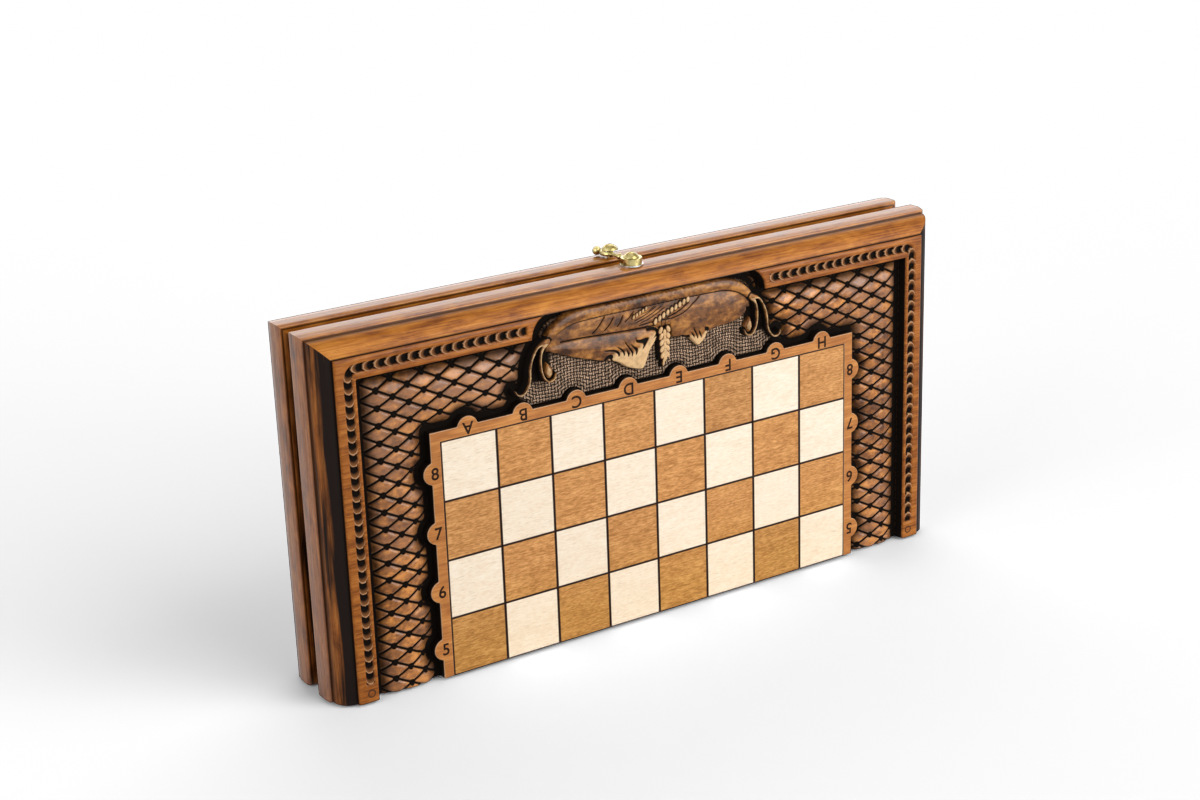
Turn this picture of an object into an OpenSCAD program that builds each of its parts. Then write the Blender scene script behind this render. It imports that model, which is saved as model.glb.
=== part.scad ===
// Folding games box for chess and backgammon, closed and standing on its hinge edge.
// Two equal trays meet at the plane y = 0 and fold about a line along X at their lower edge.
// The front half is drawn in place, and the back half is the same half turned round Z.
// Depths are measured inward from the outermost face of a half.

/* [Case] */
// Width of the carved face panel, along the hinge
panel_w = 468; // [440:1:500]
// Height of the carved face panel, from the hinge edge up
panel_h = 232; // [218:1:250]
// Thickness of the carved face panel
panel_t = 12; // [11.5:0.5:15]
// Depth of one half, from its outermost face to the parting plane
half_depth = 39; // [37:0.5:55]
// Gap between the two halves at the parting plane
parting_gap = 0.4; // [0.3:0.1:1]

/* [Carved face] */
// Width of the raised border strip
strip_w = 14.8; // [10:0.2:20]
// Depth of the lattice field's crown below the border strip
field_depth = 3; // [2:0.5:3.5]
// Depth to which the field falls at its edges
field_edge_depth = 6.5; // [5:0.5:7]
// Width of the field's falling edge
field_edge_w = 9; // [6:0.5:12]
// Depth of the woven ground under the crest
ground_depth = 6; // [5:0.5:6.5]
// Width of the sunk moat round the board panel
moat_w = 5; // [3:0.5:8]
// Width of the sunk moat along the side border strips
strip_moat_w = 5.5; // [3:0.5:8]
// Width of the sunk moat under the top border strips
top_moat_w = 3.5; // [2:0.5:6]
// Width of the sunk moat round the crest
crest_moat_w = 6; // [3:0.5:8]
// Depth of the moat and of the board panel's seat
moat_depth = 8; // [7.5:0.5:9]

/* [Tray] */
// Distance that the tray walls reach inside the panel's edge
wall_in = 12; // [8:0.5:16]
// Distance that the tray walls reach outside the panel's edge
wall_out = 7; // [4:0.5:9]
// Height of the hinge wall along the fold
hinge_wall_h = 14; // [13:0.5:20]
// Thickness of the lining on the tray floor
lining_t = 3; // [2:0.5:4]

/* [Moulding] */
// Depth of the step beside the border strip
step_depth = 3; // [1:0.5:4]
// Radius of the quarter round
quarter_r = 11.5; // [10:0.5:12]
// Width of the small ledge outside the quarter round
ledge_w = 2; // [1:0.5:3]
// Further reach of the outer rim past the ledge
rim_out = 1; // [0.5:0.5:2]
// Depth over which the rim slopes out
rim_slope = 7; // [4:0.5:8]
// Width of the flat outer rim
rim_flat = 8.7; // [7:0.1:9.5]
// Depth of the chamfer behind the flat rim
rim_chamfer = 2.5; // [1:0.5:3]

/* [Chessboard] */
// Side of one chess square
square_side = 41; // [36:0.5:42]
// Depth of the board's face below the border strip
board_depth = 1.2; // [0.5:0.1:2]
// Margin of the board panel round the squares
board_margin = 7; // [5:0.5:10]
// Radius of the half-round tabs that carry the coordinates
tab_r = 7.5; // [6:0.5:9]
// Distance of a tab's centre inside the board panel's edge
tab_inset = 1.5; // [0:0.5:3]
// Thickness of the inlaid squares
square_t = 2; // [1:0.5:3]
// Width of the burnt line between squares
kerf = 0.6; // [0.4:0.1:1]

/* [Crest] */
// Half width of the crest's arch
crest_half_w = 85; // [76:1:90]
// Height of the arch's springing above the board panel's edge
spring_height = 37; // [34:0.5:42]
// Width of the arch band at its top
band_w = 8.5; // [6:0.5:9]
// Width of the arch band where the legs leave it
band_foot_w = 4.5; // [3:0.5:6]
// Width of the ribbons that form the legs and scrolls
ribbon_w = 2.4; // [1.6:0.2:4]
// Distance that the legs stand outside the arch
leg_out = 11; // [9:0.5:12]
// Distance of the curled feet below the springing
leg_drop = 21; // [18:0.5:24]
// Radius of the curled feet
foot_r = 5.5; // [4:0.5:6]
// Distance of the scrolls' middle inside the arch's half width
scroll_in = 3.5; // [2:0.5:5]
// Distance of the scrolls' middle below the springing
scroll_drop = 15.5; // [12:0.5:18]
// Radius of the scrolls
scroll_r = 5.7; // [4:0.1:6]
// Distance of the left leaf's tip from the middle
left_tip_x = 10; // [6:0.5:16]
// Distance that the left leaf's tip hangs below the springing
left_drop = 27.5; // [20:0.5:29]
// Distance of the right leaf's tip from the middle
right_tip_x = 37.5; // [34:0.5:44]
// Distance that the right leaf's tip hangs below the springing
right_drop = 20; // [14:0.5:26]
// Distance of the wheat ear from the middle
ear_x = 10; // [8:0.5:12]
// Half width of the wheat ear
ear_half_w = 5.3; // [4:0.1:6]
// Distance that the wheat ear hangs below the springing
ear_drop = 28.5; // [20:0.5:29]
// Gap between the crest's top and the panel's edge
crest_gap = 0.8; // [0.5:0.1:3]
// Gap between the crest's arch and the ends of the border strips
strip_gap = 8.5; // [7:0.5:10]
// Depth of the arch band below the outermost face
band_depth = 0.4; // [0.2:0.1:2]
// Depth of the leaves below the outermost face
leaf_depth = 1.4; // [1:0.1:3]

/* [Backgammon field] */
// Length of one point
point_l = 168; // [120:1:175]
// Gap between neighbouring points at their feet
point_gap = 2; // [1:0.5:4]
// Thickness of the inlaid points
point_t = 1; // [0.5:0.5:1.5]

/* [Hinges] */
// Distance of each hinge from the middle
hinge_x = 150; // [100:1:180]
// Length of a hinge along the fold
hinge_l = 40; // [30:1:50]
// Height of a leaf, from the pin up
leaf_h = 11.5; // [10:0.5:12]
// Thickness of a leaf
leaf_t = 1.2; // [0.8:0.1:1.4]
// Radius of a knuckle
knuckle_r = 2; // [1.8:0.1:2.5]
// Radius of the pin
pin_r = 1; // [0.8:0.1:1.2]
// Radial clearance of the pin in the knuckles
pin_clear = 0.05; // [0.02:0.01:0.08]
// Gap between knuckles, and between knuckles and wood
knuckle_gap = 0.3; // [0.2:0.05:0.5]
// Head radius of a hinge screw
hinge_screw_head_r = 2.4; // [2:0.1:2.6]
// Shank radius of a hinge screw
hinge_screw_r = 1.2; // [0.8:0.1:1.4]
// Length of a hinge screw
hinge_screw_l = 12; // [8:0.5:14]

/* [Latch] */
// Depth of the pivot screw on the front half's top rim
pivot_depth = 24.6; // [23:0.1:27]
// Depth of the keeper screw on the back half's top rim
keeper_depth = 27.4; // [23:0.1:28]
// Radius of the hook's eye
eye_r = 7.2; // [6.5:0.1:8]
// Thickness of the hook's eye
eye_t = 4.2; // [4:0.1:5]
// Radius of the latch screws' shanks
latch_screw_r = 2; // [1.5:0.1:2.5]
// Radius of the latch screws' heads
latch_head_r = 5.6; // [4.5:0.1:6]
// Height of the latch screws' domed heads
latch_head_h = 3.4; // [3:0.1:4]
// Length of the latch screws in the wood
latch_screw_l = 14; // [10:0.5:18]
// Width of the slot in a latch screw's head
slot_w = 1.4; // [1:0.1:2]
// Depth of the slot in a latch screw's head
slot_depth = 1.2; // [0.8:0.1:1.6]
// Clearance of the moving hook
hook_clear = 0.1; // [0.05:0.05:0.2]
// Radial clearance of the hook on its pivot screw
eye_clear = 0.05; // [0.02:0.01:0.08]
// Thickness of the washer
washer_t = 0.9; // [0.5:0.1:1.5]
// Radius of the washer
washer_r = 8; // [7.5:0.1:9]
// Radius of the crescent's centre line round the keeper
crescent_r = 5.8; // [5.4:0.1:7]
// Radius of the crescent's rod
crescent_rod_r = 1.5; // [1.2:0.1:1.5]
// Radius of the hook's neck
neck_r = 1.3; // [1:0.1:1.4]
// Radius of the turned beads on the neck
bead_r = 2.1; // [1.7:0.1:2.1]
// Radius of the rod that carries the ball
tail_r = 1.1; // [0.9:0.1:1.4]
// Distance from the crescent's end to the ball's middle
knob_reach = 4.4; // [4:0.1:6]
// Radius of the small collar where the crescent ends
collar_r = 1.9; // [1.7:0.1:2]
// Radius of the ball at the hook's end
knob_r = 2.9; // [2.4:0.1:2.9]

/* [Hidden] */
$fn = 48;

// The fold line runs through the middle of the knuckles, on which the box stands.
axis_z = knuckle_r;
// Lower edge of the wood, half the parting gap above the fold line.
wood_z = axis_z + parting_gap / 2;

half_w = panel_w / 2;
rim_e = quarter_r + ledge_w + rim_out;
ledge_depth = step_depth + quarter_r;
rim_start = ledge_depth + rim_slope;
rim_end = rim_start + rim_flat;
moulding_end = rim_end + rim_chamfer;
rim_top_z = wood_z + panel_h + rim_e;

ranks = 4;
files = 8;
board_half = files * square_side / 2;
board_h = ranks * square_side;
lining_depth = panel_t + lining_t;
tray_half = half_w - wall_in;
tray_top = panel_h - wall_in;

crest_top = panel_h - crest_gap;
spring_z = board_h + board_margin + spring_height;
crest_rise = crest_top - spring_z;
arch_power = 4;
arch_steps = 28;
arc_steps = 10;
edge_levels = 3;

// Leaves below the springing: shares of the way from root to tip, and of the tip's drop
left_leaf_shape = [
    [0, -0.1], [0, 0.02], [0.29, 0.33], [0.55, 0.55], [0.69, 0.63], [0.86, 0.88], [1, 1],
    [1.11, 0.6], [1.19, 0.32], [1.19, -0.1],
];
right_leaf_shape = [
    [0, -0.1], [0.04, 0.14], [0.13, 0.38], [0.36, 0.48], [0.62, 0.52], [0.79, 0.62], [0.86, 0.82],
    [1, 1], [1.14, 0.7], [1.27, 0.55], [1.4, 0.55], [1.5, 0.45], [1.5, -0.1],
];

points_per_side = 6;
point_pitch = (tray_top - hinge_wall_h) / points_per_side;

knuckles = 5;
knuckle_l = (hinge_l - (knuckles - 1) * knuckle_gap) / knuckles;
leaf_foot = knuckle_r + knuckle_gap;
hinge_screw_z = (leaf_foot + leaf_h) / 2;
hinge_screw_pitch = hinge_l / 3;

washer_z = rim_top_z + washer_t;
eye_z = washer_z + hook_clear;
hook_z = eye_z + eye_t / 2;
head_z = eye_z + eye_t + hook_clear;
pivot_y = -depth_y(pivot_depth);
keeper_y = depth_y(keeper_depth);

wood_mid = [0.48, 0.26, 0.11];
wood_dark = [0.33, 0.17, 0.08];
wood_amber = [0.55, 0.30, 0.12];
maple = [0.93, 0.82, 0.64];
walnut = [0.50, 0.34, 0.18];
brass = [0.83, 0.69, 0.32];

// Distance from the parting plane of a depth below a half's outermost face
function depth_y(depth) = parting_gap / 2 + half_depth - depth;

// Value a share of the way from one to another
function mix(from, to, share) = from + (to - from) * share;

// Place mirrored to the other side
function flipped(place) = [-place.x, place.y];

// Upright plate of the front half, from one depth inward, over an outline in X and height
module plate(depth, thickness) {
    translate([0, -depth_y(depth + thickness), wood_z])
        rotate([90, 0, 0])
            linear_extrude(thickness) children();
}

// Places the front half's drawing as the back half
module turned(back) {
    rotate([0, 0, back ? 180 : 0]) children();
}

// --- carved face -------------------------------------------------------------------------

// Outline of the board panel with its half-round tabs, grown by a margin
module board_outline(grow) {
    edge = board_half + board_margin;
    translate([-edge - grow, -grow])
        square([2 * (edge + grow), board_h + board_margin + 2 * grow]);
    for (file = [0 : files - 1])
        translate([(file + 0.5) * square_side - board_half, board_h + board_margin - tab_inset])
            circle(r = tab_r + grow);
    for (side = [-1, 1], rank = [0 : ranks - 1])
        translate([side * (edge - tab_inset), (rank + 0.5) * square_side])
            circle(r = tab_r + grow);
}

// Board panel outline, cut square at the fold
module board_shape() {
    intersection() {
        board_outline(0);
        translate([-half_w, 0]) square([panel_w, panel_h]);
    }
}

// Everything between the border strips, drawn in from them by margins at the sides and at the top
module field_outline(side_margin, top_margin) {
    reach = half_w - strip_w - side_margin;
    end_gap = strip_gap - top_margin;
    translate([-reach, -1]) square([2 * reach, panel_h - strip_w - top_margin + 1]);
    arch(crest_half_w + end_gap, crest_rise + end_gap);
}

// The crest with the ground that it frames, grown by a margin
module crest_place(grow) {
    leg_x = crest_half_w + leg_out + ribbon_w + grow;
    foot_x = crest_half_w + leg_out + 2 * foot_r + ribbon_w / 2 + grow;
    right_side = [
        [crest_half_w + grow, spring_z + leg_out / 2], [leg_x, spring_z - leg_drop / 3],
        [foot_x, spring_z - leg_drop], [foot_x, board_h]
    ];
    arch(crest_half_w + grow, crest_rise + grow);
    left_side = [for (index = [len(right_side) - 1 : -1 : 0]) flipped(right_side[index])];
    polygon(concat(right_side, left_side));
}

// The moats beside the strips, the board panel and the crest, grown by a margin
module sunk_edges(grow) {
    difference() {
        field_outline(0, 0);
        field_outline(strip_moat_w + grow, top_moat_w + grow);
    }
    board_outline(moat_w + grow);
    crest_place(crest_moat_w + grow);
}

module face_panel() {
    color(wood_mid) difference() {
        plate(0, panel_t) translate([-half_w, 0]) square([panel_w, panel_h]);
        plate(-1, field_depth + 1) field_outline(0, 0);
        for (level = [1 : edge_levels])
            plate(-1, mix(field_edge_depth, field_depth, level / (edge_levels + 1)) + 1)
                sunk_edges(field_edge_w * level / edge_levels);
        plate(-1, ground_depth + 1) crest_place(0);
        plate(-1, moat_depth + 1) {
            difference() {
                sunk_edges(0);
                crest_place(0);
            }
            board_outline(moat_w);
        }
    }
}

module board_panel() {
    color(wood_amber) difference() {
        plate(board_depth, moat_depth - board_depth) board_shape();
        plate(board_depth - 1, square_t + 1)
            translate([-board_half, -1]) square([2 * board_half, board_h + 1]);
    }
}

// Squares of one colour; the leftmost square of the top rank is light on the front half
module squares(parity) {
    plate(board_depth, square_t)
        for (file = [0 : files - 1], rank = [0 : ranks - 1])
            if ((file + rank) % 2 == parity)
                translate([file * square_side - board_half + kerf / 2, rank * square_side + kerf / 2])
                    square(square_side - kerf);
}

module light_squares() { color(maple) squares(1); }
module dark_squares() { color(walnut) squares(0); }

// --- crest -------------------------------------------------------------------------------

// One point of a flattened arch of given half width and rise
function arch_point(half_width, rise, angle) = [
    half_width * sign(cos(angle)) * pow(abs(cos(angle)), 2 / arch_power),
    spring_z + rise * pow(sin(angle), 2 / arch_power)
];

// Filled arch over its springing line
module arch(half_width, rise) {
    polygon([for (step = [0 : arch_steps]) arch_point(half_width, rise, 180 * step / arch_steps)]);
}

// Points of an arc round a middle
function arc_points(middle, radius, from, to) = [
    for (step = [0 : arc_steps])
        let (angle = mix(from, to, step / arc_steps)) middle + radius * [cos(angle), sin(angle)]
];

// Unit vector square to a line at one of its points
function line_normal(line, index) =
    let (run = line[min(index + 1, len(line) - 1)] - line[max(index - 1, 0)])
    [-run.y, run.x] / norm(run);

// Strip of even width along a line, on the right or mirrored to the left
module ribbon(line, side) {
    count = len(line);
    edges = [for (turn = [-1, 1]) [for (index = [0 : count - 1])
        line[index] + turn * ribbon_w / 2 * line_normal(line, index)]];
    outline = concat(edges[0], [for (index = [count - 1 : -1 : 0]) edges[1][index]]);
    polygon([for (place = outline) side > 0 ? place : flipped(place)]);
}

// Arch band with the curled legs and the inner scrolls
module crest_band() {
    shoulder = [crest_half_w - band_foot_w / 2, spring_z + leg_out / 2];
    foot = [crest_half_w + leg_out + foot_r, spring_z - leg_drop];
    scroll = [crest_half_w - scroll_in, spring_z - scroll_drop];
    knee = [crest_half_w + leg_out / 2, spring_z + 1];
    shin = [crest_half_w + 0.9 * leg_out, spring_z - leg_drop / 3];
    leg_line = concat([shoulder, knee, shin], arc_points(foot, foot_r, 180, 360));
    bend = [scroll.x + 0.8 * scroll_r, spring_z - scroll_drop / 3];
    scroll_line = concat([shoulder, bend], arc_points(scroll, scroll_r, 0, -200));
    difference() {
        arch(crest_half_w, crest_rise);
        arch(crest_half_w - band_foot_w, crest_rise - band_w);
    }
    for (side = [-1, 1]) {
        ribbon(leg_line, side);
        ribbon(scroll_line, side);
    }
}

// Outline of a leaf below the springing
module leaf(root_x, tip_x, drop, shape) {
    polygon([for (place = shape) [mix(root_x, tip_x, place.x), spring_z - drop * place.y]]);
}

// Two broad leaves under the arch, with the wheat ear hanging between them
module crest_leaves() {
    leaf_root = crest_half_w - band_foot_w;
    arch(leaf_root, crest_rise - band_w);
    leaf(-leaf_root, -left_tip_x, left_drop, left_leaf_shape);
    leaf(leaf_root, right_tip_x, right_drop, right_leaf_shape);
    translate([ear_x, spring_z])
        polygon([
            [-ear_half_w, 1], [-ear_half_w, -ear_drop / 2], [0, -ear_drop],
            [ear_half_w, -ear_drop / 2], [ear_half_w, 1]
        ]);
}

module crest() {
    color(wood_dark) {
        plate(band_depth, ground_depth - band_depth) crest_band();
        plate(leaf_depth, ground_depth - leaf_depth) crest_leaves();
    }
}

// --- tray --------------------------------------------------------------------------------

module side_wall(side) {
    color(wood_dark) plate(panel_t, half_depth - panel_t)
        translate([side > 0 ? half_w - wall_in : -half_w - wall_out, 0])
            square([wall_in + wall_out, panel_h + wall_out]);
}

module top_wall() {
    color(wood_dark) difference() {
        plate(panel_t, half_depth - panel_t)
            translate([-tray_half, tray_top]) square([2 * tray_half, wall_in + wall_out]);
        children();
    }
}

// Wall along the fold, notched for the knuckles and let in for the leaves
module hinge_wall() {
    color(wood_dark) difference() {
        plate(panel_t, half_depth - panel_t)
            translate([-tray_half, 0]) square([2 * tray_half, hinge_wall_h]);
        for (side = [-1, 1]) translate([side * hinge_x, 0, axis_z]) {
            rotate([0, 90, 0])
                cylinder(r = knuckle_r + knuckle_gap, h = hinge_l + 2 * knuckle_gap, center = true);
            translate([-hinge_l / 2 - knuckle_gap, -parting_gap / 2 - leaf_t, 0])
                cube([hinge_l + 2 * knuckle_gap, leaf_t + 1, leaf_h + knuckle_gap]);
            hinge_screw_places() rotate([90, 0, 0])
                cylinder(r = hinge_screw_r + pin_clear, h = hinge_screw_l + 1);
        }
    }
}

module field_lining() {
    color(walnut) difference() {
        plate(panel_t, lining_t)
            translate([-tray_half, hinge_wall_h]) square([2 * tray_half, tray_top - hinge_wall_h]);
        plate(lining_depth - point_t, point_t + 1) {
            points(0, point_gap);
            points(1, point_gap);
        }
    }
}

// Outline of every second backgammon point on the tray's two short sides, run on past its foot
module points(parity, overrun = 0) {
    foot = point_pitch - point_gap;
    for (side = [-1, 1], index = [0 : points_per_side - 1])
        if ((index + (side > 0 ? 1 : 0)) % 2 == parity)
            translate([side * tray_half, hinge_wall_h + (index + 0.5) * point_pitch])
                polygon([
                    [side * overrun, -foot / 2], [0, -foot / 2], [-side * point_l, 0],
                    [0, foot / 2], [side * overrun, foot / 2]
                ]);
}

module light_points() { color(maple) plate(lining_depth - point_t, point_t) points(0); }
module dark_points() { color(wood_dark) plate(lining_depth - point_t, point_t) points(1); }

// --- mouldings ---------------------------------------------------------------------------

// Section of the moulding: reach outside the panel's edge along X, depth along Y
module moulding_section() {
    translate([0, ledge_depth]) intersection() {
        circle(r = quarter_r, $fn = 96);
        translate([0, -quarter_r]) square(quarter_r);
    }
    polygon([
        [0, ledge_depth], [quarter_r + ledge_w, ledge_depth], [rim_e, rim_start], [rim_e, rim_end],
        [rim_e - rim_out, moulding_end], [wall_out, moulding_end], [wall_out, panel_t], [0, panel_t]
    ]);
}

module moulding_profile() {
    difference() {
        moulding_section();
        translate([-1, panel_t]) square([wall_out + 1, half_depth]);
    }
}

// Moulding bar standing along Z, its inner edge on the Z axis and its face towards -Y
module moulding_bar(length) {
    translate([0, -depth_y(0), 0]) linear_extrude(length) moulding_profile();
}

module right_moulding() {
    color(wood_amber) intersection() {
        translate([half_w, 0, wood_z]) moulding_bar(panel_h + 2 * rim_e);
        plate(-1, half_depth + 2) polygon([
            [half_w - rim_e, 0], [half_w + 2 * rim_e, 0],
            [half_w + 2 * rim_e, panel_h + 2 * rim_e], [half_w - rim_e, panel_h - rim_e]
        ]);
    }
}

module left_moulding() {
    mirror([1, 0, 0]) right_moulding();
}

module top_moulding() {
    color(wood_amber) difference() {
        intersection() {
            translate([-half_w - 2 * rim_e, 0, wood_z + panel_h])
                rotate([0, 90, 0]) mirror([1, 0, 0]) moulding_bar(panel_w + 4 * rim_e);
            plate(-1, half_depth + 2) polygon([
                [-half_w + rim_e, panel_h - rim_e], [half_w - rim_e, panel_h - rim_e],
                [half_w + 2 * rim_e, panel_h + 2 * rim_e], [-half_w - 2 * rim_e, panel_h + 2 * rim_e]
            ]);
        }
        children();
    }
}

// --- hinges ------------------------------------------------------------------------------

// Three screw places of a leaf, on the leaf's outer face
module hinge_screw_places() {
    for (place = [-1, 0, 1])
        translate([place * hinge_screw_pitch, -parting_gap / 2, hinge_screw_z]) children();
}

// Countersunk head that ends flush with the leaf
module countersink(clear) {
    rotate([90, 0, 0]) cylinder(r1 = hinge_screw_head_r + clear, r2 = hinge_screw_r + clear, h = leaf_t);
}

// Leaf of the front half about the fold line, with every second knuckle from the first one given
module hinge_leaf(first) {
    difference() {
        union() {
            translate([-hinge_l / 2, -parting_gap / 2 - leaf_t, leaf_foot])
                cube([hinge_l, leaf_t, leaf_h - leaf_foot]);
            for (index = [first : 2 : knuckles - 1])
                translate([index * (knuckle_l + knuckle_gap) - hinge_l / 2, 0, 0]) {
                    rotate([0, 90, 0]) cylinder(r = knuckle_r, h = knuckle_l);
                    translate([0, -parting_gap / 2 - leaf_t, 0]) cube([knuckle_l, leaf_t, leaf_foot]);
                }
        }
        rotate([0, 90, 0]) cylinder(r = pin_r + pin_clear, h = hinge_l + 2, center = true);
        hinge_screw_places() countersink(pin_clear);
    }
}

module hinge_leaves(first) {
    color(brass) for (side = [-1, 1]) translate([side * hinge_x, 0, axis_z]) hinge_leaf(first);
}

module hinge_screws() {
    color(brass) for (side = [-1, 1]) translate([side * hinge_x, 0, axis_z])
        hinge_screw_places() {
            countersink(0);
            rotate([90, 0, 0]) cylinder(r = hinge_screw_r, h = hinge_screw_l);
        }
}

module hinge_pins() {
    color(brass) for (side = [-1, 1]) translate([side * hinge_x, 0, axis_z])
        rotate([0, 90, 0]) cylinder(r = pin_r, h = hinge_l, center = true);
}

// --- latch -------------------------------------------------------------------------------

// Hole for a latch screw in the top rim, at a place in Y
module latch_hole(place_y) {
    translate([0, place_y, rim_top_z - latch_screw_l])
        cylinder(r = latch_screw_r + eye_clear, h = latch_screw_l + 1);
}

// Domed and slotted head with its shank
module latch_screw(place_y) {
    dome_r = (latch_head_r * latch_head_r + latch_head_h * latch_head_h) / (2 * latch_head_h);
    color(brass) translate([0, place_y, 0]) {
        translate([0, 0, rim_top_z - latch_screw_l])
            cylinder(r = latch_screw_r, h = head_z - rim_top_z + latch_screw_l);
        difference() {
            intersection() {
                translate([0, 0, head_z + latch_head_h - dome_r]) sphere(r = dome_r, $fn = 96);
                translate([0, 0, head_z]) cylinder(r = latch_head_r, h = latch_head_h);
            }
            translate([-latch_head_r, -slot_w / 2, head_z + latch_head_h - slot_depth])
                cube([2 * latch_head_r, slot_w, slot_depth + 1]);
        }
    }
}

module latch_washer() {
    color("silver") translate([0, pivot_y, rim_top_z]) difference() {
        cylinder(r = washer_r, h = washer_t);
        translate([0, 0, -1]) cylinder(r = latch_screw_r + eye_clear, h = washer_t + 2);
    }
}

// Straight rod between two places in the hook's plane
module rod(from, to, radius) {
    run = to - from;
    translate([from.x, from.y, 0]) rotate([0, 0, atan2(run.y, run.x)])
        rotate([0, 90, 0]) cylinder(r = radius, h = norm(run));
}

module latch_hook() {
    span = keeper_y - pivot_y;
    arc_start = 112;
    arc_end = 246;
    arc_foot = [crescent_r * cos(arc_end), span + crescent_r * sin(arc_end)];
    arc_tip = [crescent_r * cos(arc_start), span + crescent_r * sin(arc_start)];
    neck_start = [0, (eye_r + latch_screw_r) / 2];
    neck_bead = (neck_start + arc_foot) / 2;
    knob_angle = 126;
    knob_place = arc_tip + knob_reach * [cos(knob_angle), sin(knob_angle)];
    color(brass) translate([0, pivot_y, hook_z]) {
        difference() {
            cylinder(r = eye_r, h = eye_t, center = true);
            cylinder(r = latch_screw_r + eye_clear, h = eye_t + 2, center = true);
        }
        rod(neck_start, arc_foot, neck_r);
        for (place = [neck_bead, arc_foot]) translate(concat(place, 0)) sphere(r = bead_r);
        translate([0, span, 0]) rotate([0, 0, arc_start])
            rotate_extrude(angle = arc_end - arc_start)
                translate([crescent_r, 0]) circle(r = crescent_rod_r);
        translate(concat(arc_tip, 0)) sphere(r = collar_r);
        rod(arc_tip, knob_place, tail_r);
        translate(concat(knob_place, 0)) sphere(r = knob_r);
    }
}

// --- assembly ----------------------------------------------------------------------------

turned(false) face_panel();  // front_face_panel
turned(false) crest();  // front_crest
turned(false) board_panel();  // front_board_panel
turned(false) light_squares();  // front_light_squares
turned(false) dark_squares();  // front_dark_squares
turned(false) left_moulding();  // front_left_moulding
turned(false) right_moulding();  // front_right_moulding
turned(false) top_moulding() latch_hole(pivot_y);  // front_top_moulding
turned(false) side_wall(-1);  // front_left_wall
turned(false) side_wall(1);  // front_right_wall
turned(false) top_wall() latch_hole(pivot_y);  // front_top_wall
turned(false) hinge_wall();  // front_hinge_wall
turned(false) field_lining();  // front_field_lining
turned(false) light_points();  // front_light_points
turned(false) dark_points();  // front_dark_points
turned(false) hinge_leaves(1);  // front_hinge_leaves
turned(false) hinge_screws();  // front_hinge_screws
turned(true) face_panel();  // back_face_panel
turned(true) crest();  // back_crest
turned(true) board_panel();  // back_board_panel
turned(true) light_squares();  // back_light_squares
turned(true) dark_squares();  // back_dark_squares
turned(true) right_moulding();  // back_left_moulding
turned(true) left_moulding();  // back_right_moulding
turned(true) top_moulding() latch_hole(-keeper_y);  // back_top_moulding
turned(true) side_wall(1);  // back_left_wall
turned(true) side_wall(-1);  // back_right_wall
turned(true) top_wall() latch_hole(-keeper_y);  // back_top_wall
turned(true) hinge_wall();  // back_hinge_wall
turned(true) field_lining();  // back_field_lining
turned(true) light_points();  // back_light_points
turned(true) dark_points();  // back_dark_points
turned(true) hinge_leaves(0);  // back_hinge_leaves
turned(true) hinge_screws();  // back_hinge_screws
hinge_pins();
latch_hook();
latch_washer();
latch_screw(pivot_y);  // latch_pivot_screw
latch_screw(keeper_y);  // latch_keeper_screw
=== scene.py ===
import math
from functools import reduce

import bmesh
import bpy
import numpy as np
from mathutils import Matrix, Vector
from mathutils.geometry import tessellate_polygon


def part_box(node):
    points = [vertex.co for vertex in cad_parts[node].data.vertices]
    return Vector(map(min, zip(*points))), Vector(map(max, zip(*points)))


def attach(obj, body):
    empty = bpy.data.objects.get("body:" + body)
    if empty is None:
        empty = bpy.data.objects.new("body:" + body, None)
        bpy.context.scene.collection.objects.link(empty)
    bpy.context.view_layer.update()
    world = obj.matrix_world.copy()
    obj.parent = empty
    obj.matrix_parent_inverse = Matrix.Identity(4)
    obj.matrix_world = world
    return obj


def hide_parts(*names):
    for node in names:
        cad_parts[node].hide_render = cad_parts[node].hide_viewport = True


# A carved folding box for chess and backgammon, closed and standing on its hinge edge.
# The front half is drawn in millimetres: x across, depth inward from its outermost face, and
# height above the lower edge of the wood. The back half is the same half turned round Z.

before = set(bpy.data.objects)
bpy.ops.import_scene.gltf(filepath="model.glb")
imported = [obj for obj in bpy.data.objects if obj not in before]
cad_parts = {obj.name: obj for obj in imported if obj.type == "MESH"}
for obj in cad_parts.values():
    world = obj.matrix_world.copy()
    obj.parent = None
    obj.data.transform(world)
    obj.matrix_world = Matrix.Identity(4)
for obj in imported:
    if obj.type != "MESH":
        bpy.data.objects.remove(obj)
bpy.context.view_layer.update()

# --- sizes, in millimetres ---

MM = 0.001
panel_low, panel_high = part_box("front_face_panel")
board_low, board_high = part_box("front_board_panel")
square_low, square_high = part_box("front_light_squares")
_, crest_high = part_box("front_crest")
_, rim_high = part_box("front_top_moulding")
FACE_Y = panel_low.y / MM
WOOD_Z = panel_low.z / MM
HALF_W = panel_high.x / MM
PANEL_H = (panel_high.z - panel_low.z) / MM
PANEL_T = (panel_high.y - panel_low.y) / MM

FILES = 8
RANKS = 4
SQUARE = round((square_high.x - square_low.x) / MM / FILES)
BOARD_HALF = SQUARE * FILES / 2
BOARD_H = SQUARE * RANKS
BOARD_DEPTH = board_low.y / MM - FACE_Y
BOARD_SEAT = board_high.y / MM - FACE_Y
SQUARE_T = (square_high.y - square_low.y) / MM
BOARD_MARGIN = 7
TAB_INSET = 1.5
TAB_R = board_high.x / MM - BOARD_HALF - BOARD_MARGIN + TAB_INSET
TAB_FILLET = 1.2
BOARD_EDGE = BOARD_HALF + BOARD_MARGIN
BOARD_TOP = BOARD_H + BOARD_MARGIN
FILE_X = [(file + 0.5) * SQUARE - BOARD_HALF for file in range(FILES)]
RANK_Z = [(rank + 0.5) * SQUARE for rank in range(RANKS)]

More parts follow.
